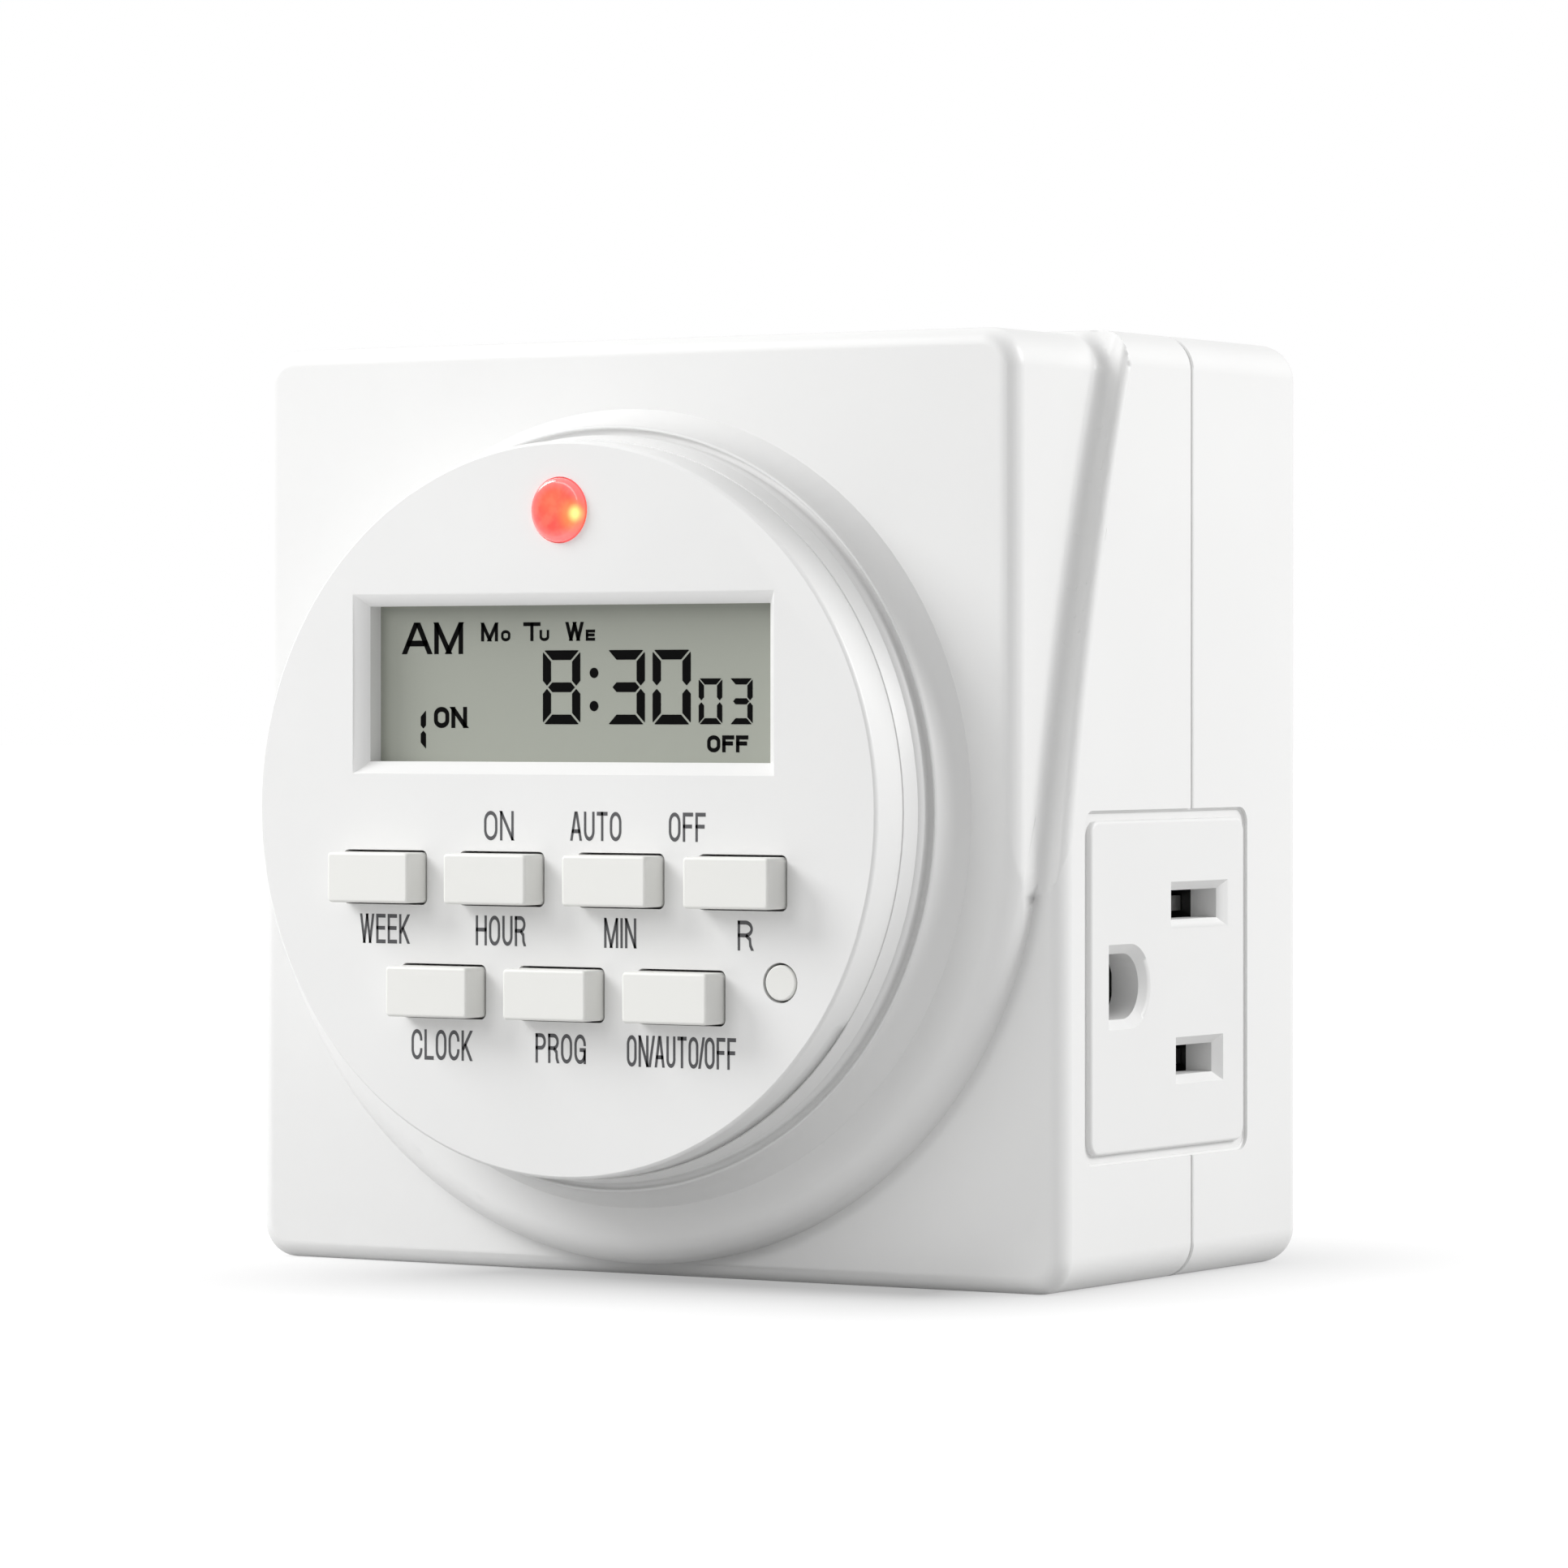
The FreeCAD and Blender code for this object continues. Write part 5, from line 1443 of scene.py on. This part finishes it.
@dataclass
class InnerWorks:
    """The pieces inside, which the housing hides."""

    finishes: Finishes
    laminate: Laminate = Laminate("board_brown", (0.2, 0.13, 0.05))
    plastics: tuple[tuple[MouldedPlastic, tuple[str, ...]], ...] = (
        (MouldedPlastic("silicone_grey", (0.55, 0.56, 0.55), roughness=0.6), ("keypad_mat", "zebra_strips")),
        (MouldedPlastic("battery_green", (0.05, 0.16, 0.09), roughness=0.3), ("backup_battery",)),
        (MouldedPlastic("ribbon_grey", (0.36, 0.36, 0.38), roughness=0.5), ("ribbon_cable",)),
        (MouldedPlastic("relay_blue", (0.03, 0.09, 0.3), roughness=0.25), ("relay",)),
        (MouldedPlastic("film_yellow", (0.6, 0.4, 0.05), roughness=0.3), ("film_capacitor",)),
        (MouldedPlastic("can_dark", (0.02, 0.03, 0.07), roughness=0.28), ("electrolytic_capacitor",)),
        (MouldedPlastic("varistor_blue", (0.03, 0.12, 0.35), roughness=0.4), ("varistor",)),
        (MouldedPlastic("resistor_grey", (0.3, 0.36, 0.38), roughness=0.4), ("dropper_resistor",)),
    )

    def build(self) -> None:
        """Gives each inner node its finish."""
        groups = [
            (self.laminate.build(), ("display_board", "power_board")),
            (self.finishes.inner, ("display_frame",)),
            (self.finishes.black, ("controller_blob", "rectifier_diodes")),
            (self.finishes.steel, ("clock_crystal",)),
            (self.finishes.brass, ("neutral_bus", "line_bus", "ground_bus")),
        ]
        groups += [(plastic.build(), nodes) for plastic, nodes in self.plastics]
        for material, nodes in groups:
            for node in nodes:
                paint(node, material)


@dataclass(frozen=True)
class SoftLamp:
    """A round soft lamp that looks at the object from a direction.

    Attributes:
        name: The lamp's name.
        azimuth: Degrees from straight ahead of the dial, positive towards +X.
        elevation: Degrees above the floor.
        watts: The lamp's power.
        across: The disk's diameter.
        reach: How far the lamp stands from the place that it looks at.
        look_at: That place, near the object's middle.
    """

    name: str
    azimuth: float
    elevation: float
    watts: float
    across: float = 0.3
    reach: float = 0.6
    look_at: tuple[float, float, float] = (0.0, 0.0, 0.03)

    def build(self) -> None:
        """Hangs the lamp: way = (sin a cos e, -cos a cos e, sin e), place = way * reach + look_at."""
        data = bpy.data.lights.new(self.name, "AREA")
        data.shape = "DISK"
        data.size = self.across
        data.energy = self.watts
        turn, lift = math.radians(self.azimuth), math.radians(self.elevation)
        way = np.array([math.sin(turn) * math.cos(lift), -math.cos(turn) * math.cos(lift), math.sin(lift)])
        lamp = bpy.data.objects.new(self.name, data)
        lamp.location = way * self.reach + np.array(self.look_at)
        lamp.rotation_euler = (math.acos(way[2]), 0.0, math.atan2(way[0], -way[1]))
        bpy.context.scene.collection.objects.link(lamp)


@dataclass(frozen=True)
class Studio:
    """The pale floor, the soft lights and the camera.

    The floor's painted shadow has its middle and its half width in shade_x and in shade_y.
    """

    camera_place: tuple[float, float, float] = (0.300511, -0.487284, 0.04679)
    camera_turn: float = 31.627
    lens: float = 154.796
    sensor_width: float = 36.0
    shift_y: float = -0.04894
    furthest: float = 20.0
    ambient: float = 0.57
    floor_reach: float = 6.0
    floor_roughness: float = 0.9
    floor_bounce: float = 0.5
    floor_grey: float = 0.12
    lift_far: float = 0.96
    # The next value sets how deep the painted shadow under the object is.
    painted_shadow_dip: float = 0.58
    shade_fade: float = 0.021
    shade_x: Point = (0.008, 0.020)
    shade_y: Point = (-0.006, 0.018)
    shade_stretch: float = 1.2
    lamps: tuple[SoftLamp, ...] = (
        SoftLamp("key_lamp", azimuth=-60.0, elevation=35.0, watts=2.6),
        SoftLamp("front_lamp", azimuth=-20.0, elevation=25.0, watts=0.65),
        SoftLamp("side_lamp", azimuth=118.0, elevation=30.0, watts=2.35),
    )

    def build(self) -> None:
        """Sets the whole studio."""
        bpy.context.scene.view_settings.view_transform = "Standard"
        self.add_camera()
        self.add_floor()
        self.add_world()
        for lamp in self.lamps:
            lamp.build()

    def add_camera(self) -> None:
        """Places the camera at the photograph's viewing angle."""
        data = bpy.data.cameras.new("camera")
        data.sensor_fit = "HORIZONTAL"
        data.sensor_width = self.sensor_width
        data.lens = self.lens
        data.shift_y = self.shift_y
        data.clip_end = self.furthest
        camera = bpy.data.objects.new("camera", data)
        camera.location = self.camera_place
        camera.rotation_euler = (math.radians(90.0), 0.0, math.radians(self.camera_turn))
        bpy.context.scene.collection.objects.link(camera)
        bpy.context.scene.camera = camera

    def add_floor(self) -> None:
        """A wide pale floor that reads white to the camera, with a faint real shadow and a painted one.

        Rays from the camera see a greyer floor with a lift of its own. The lift is least under the object,
        which paints a shadow there, and grows with the distance d from a small box there: lift = far - dip *
        e^(-d / fade).
        """
        corners = np.array([(-1.0, -1.0, 0.0), (1.0, -1.0, 0.0), (1.0, 1.0, 0.0), (-1.0, 1.0, 0.0)])
        floor = mesh_object("floor", corners * self.floor_reach, [[0, 1, 2, 3]], smooth=False)
        kit = Shader("floor_pale")
        path = kit.node("ShaderNodeLightPath")
        seen = Value(kit, path.outputs["Is Camera Ray"])
        for ray in ("Is Glossy Ray", "Is Transmission Ray"):
            seen = kit.maths("MAXIMUM", seen, Value(kit, path.outputs[ray]))
        place = kit.node("ShaderNodeSeparateXYZ", Vector=kit.place)
        beside = []
        for axis, centre, half in (("X", *self.shade_x), ("Y", *self.shade_y)):
            off_centre = kit.maths("ABSOLUTE", Value(kit, place.outputs[axis]) - centre)
            beside.append(kit.maths("MAXIMUM", off_centre - half, 0.0))
        across = beside[0] * self.shade_stretch
        away = kit.maths("SQRT", across * across + beside[1] * beside[1])
        # Painted shadow: the floor's lift dips near the object.
        lift = self.lift_far - kit.maths("EXPONENT", away * (-1.0 / self.shade_fade)) * self.painted_shadow_dip
        kit.set(Roughness=self.floor_roughness, Emission_Strength=1.0)
        kit.set(Base_Color=kit.mix(seen, (self.floor_bounce,) * 3, (self.floor_grey,) * 3))
        kit.set(Emission_Color=kit.mix(seen, BLACK, kit.mix(lift, BLACK, WHITE)))
        floor.data.materials.append(kit.material)

    def add_world(self) -> None:
        """Even light from all round, with plain white behind everything the camera sees."""
        world = bpy.data.worlds.new("studio")
        world.use_nodes = True
        tree = world.node_tree
        tree.nodes.clear()
        output = tree.nodes.new("ShaderNodeOutputWorld")
        backgrounds = []
        for strength in (self.ambient, 1.0):
            background = tree.nodes.new("ShaderNodeBackground")
            background.inputs["Color"].default_value = (*WHITE, 1.0)
            background.inputs["Strength"].default_value = strength
            backgrounds.append(background)
        path = tree.nodes.new("ShaderNodeLightPath")
        either = tree.nodes.new("ShaderNodeMath")
        either.operation = "MAXIMUM"
        blend = tree.nodes.new("ShaderNodeMixShader")
        for source, target in ((path.outputs["Is Camera Ray"], either.inputs[0]),
                               (path.outputs["Is Transmission Ray"], either.inputs[1]),
                               (either.outputs[0], blend.inputs["Fac"]),
                               (backgrounds[0].outputs[0], blend.inputs[1]),
                               (backgrounds[1].outputs[0], blend.inputs[2]),
                               (blend.outputs[0], output.inputs["Surface"])):
            tree.links.new(source, target)
        bpy.context.scene.world = world


def main() -> None:
    """Builds the timer's looks piece by piece, then the studio round it."""
    logging.basicConfig(level=logging.INFO, format="%(name)s: %(message)s")
    finishes = Finishes()
    Housing(finishes).build()
    Dial(finishes).build()
    Display(finishes).build()
    Lamp().build()
    Outlets(finishes).build()
    Plug(finishes).build()
    InnerWorks(finishes).build()
    Studio().build()
    LOG.info("built")


if __name__ == "__main__":
    main()
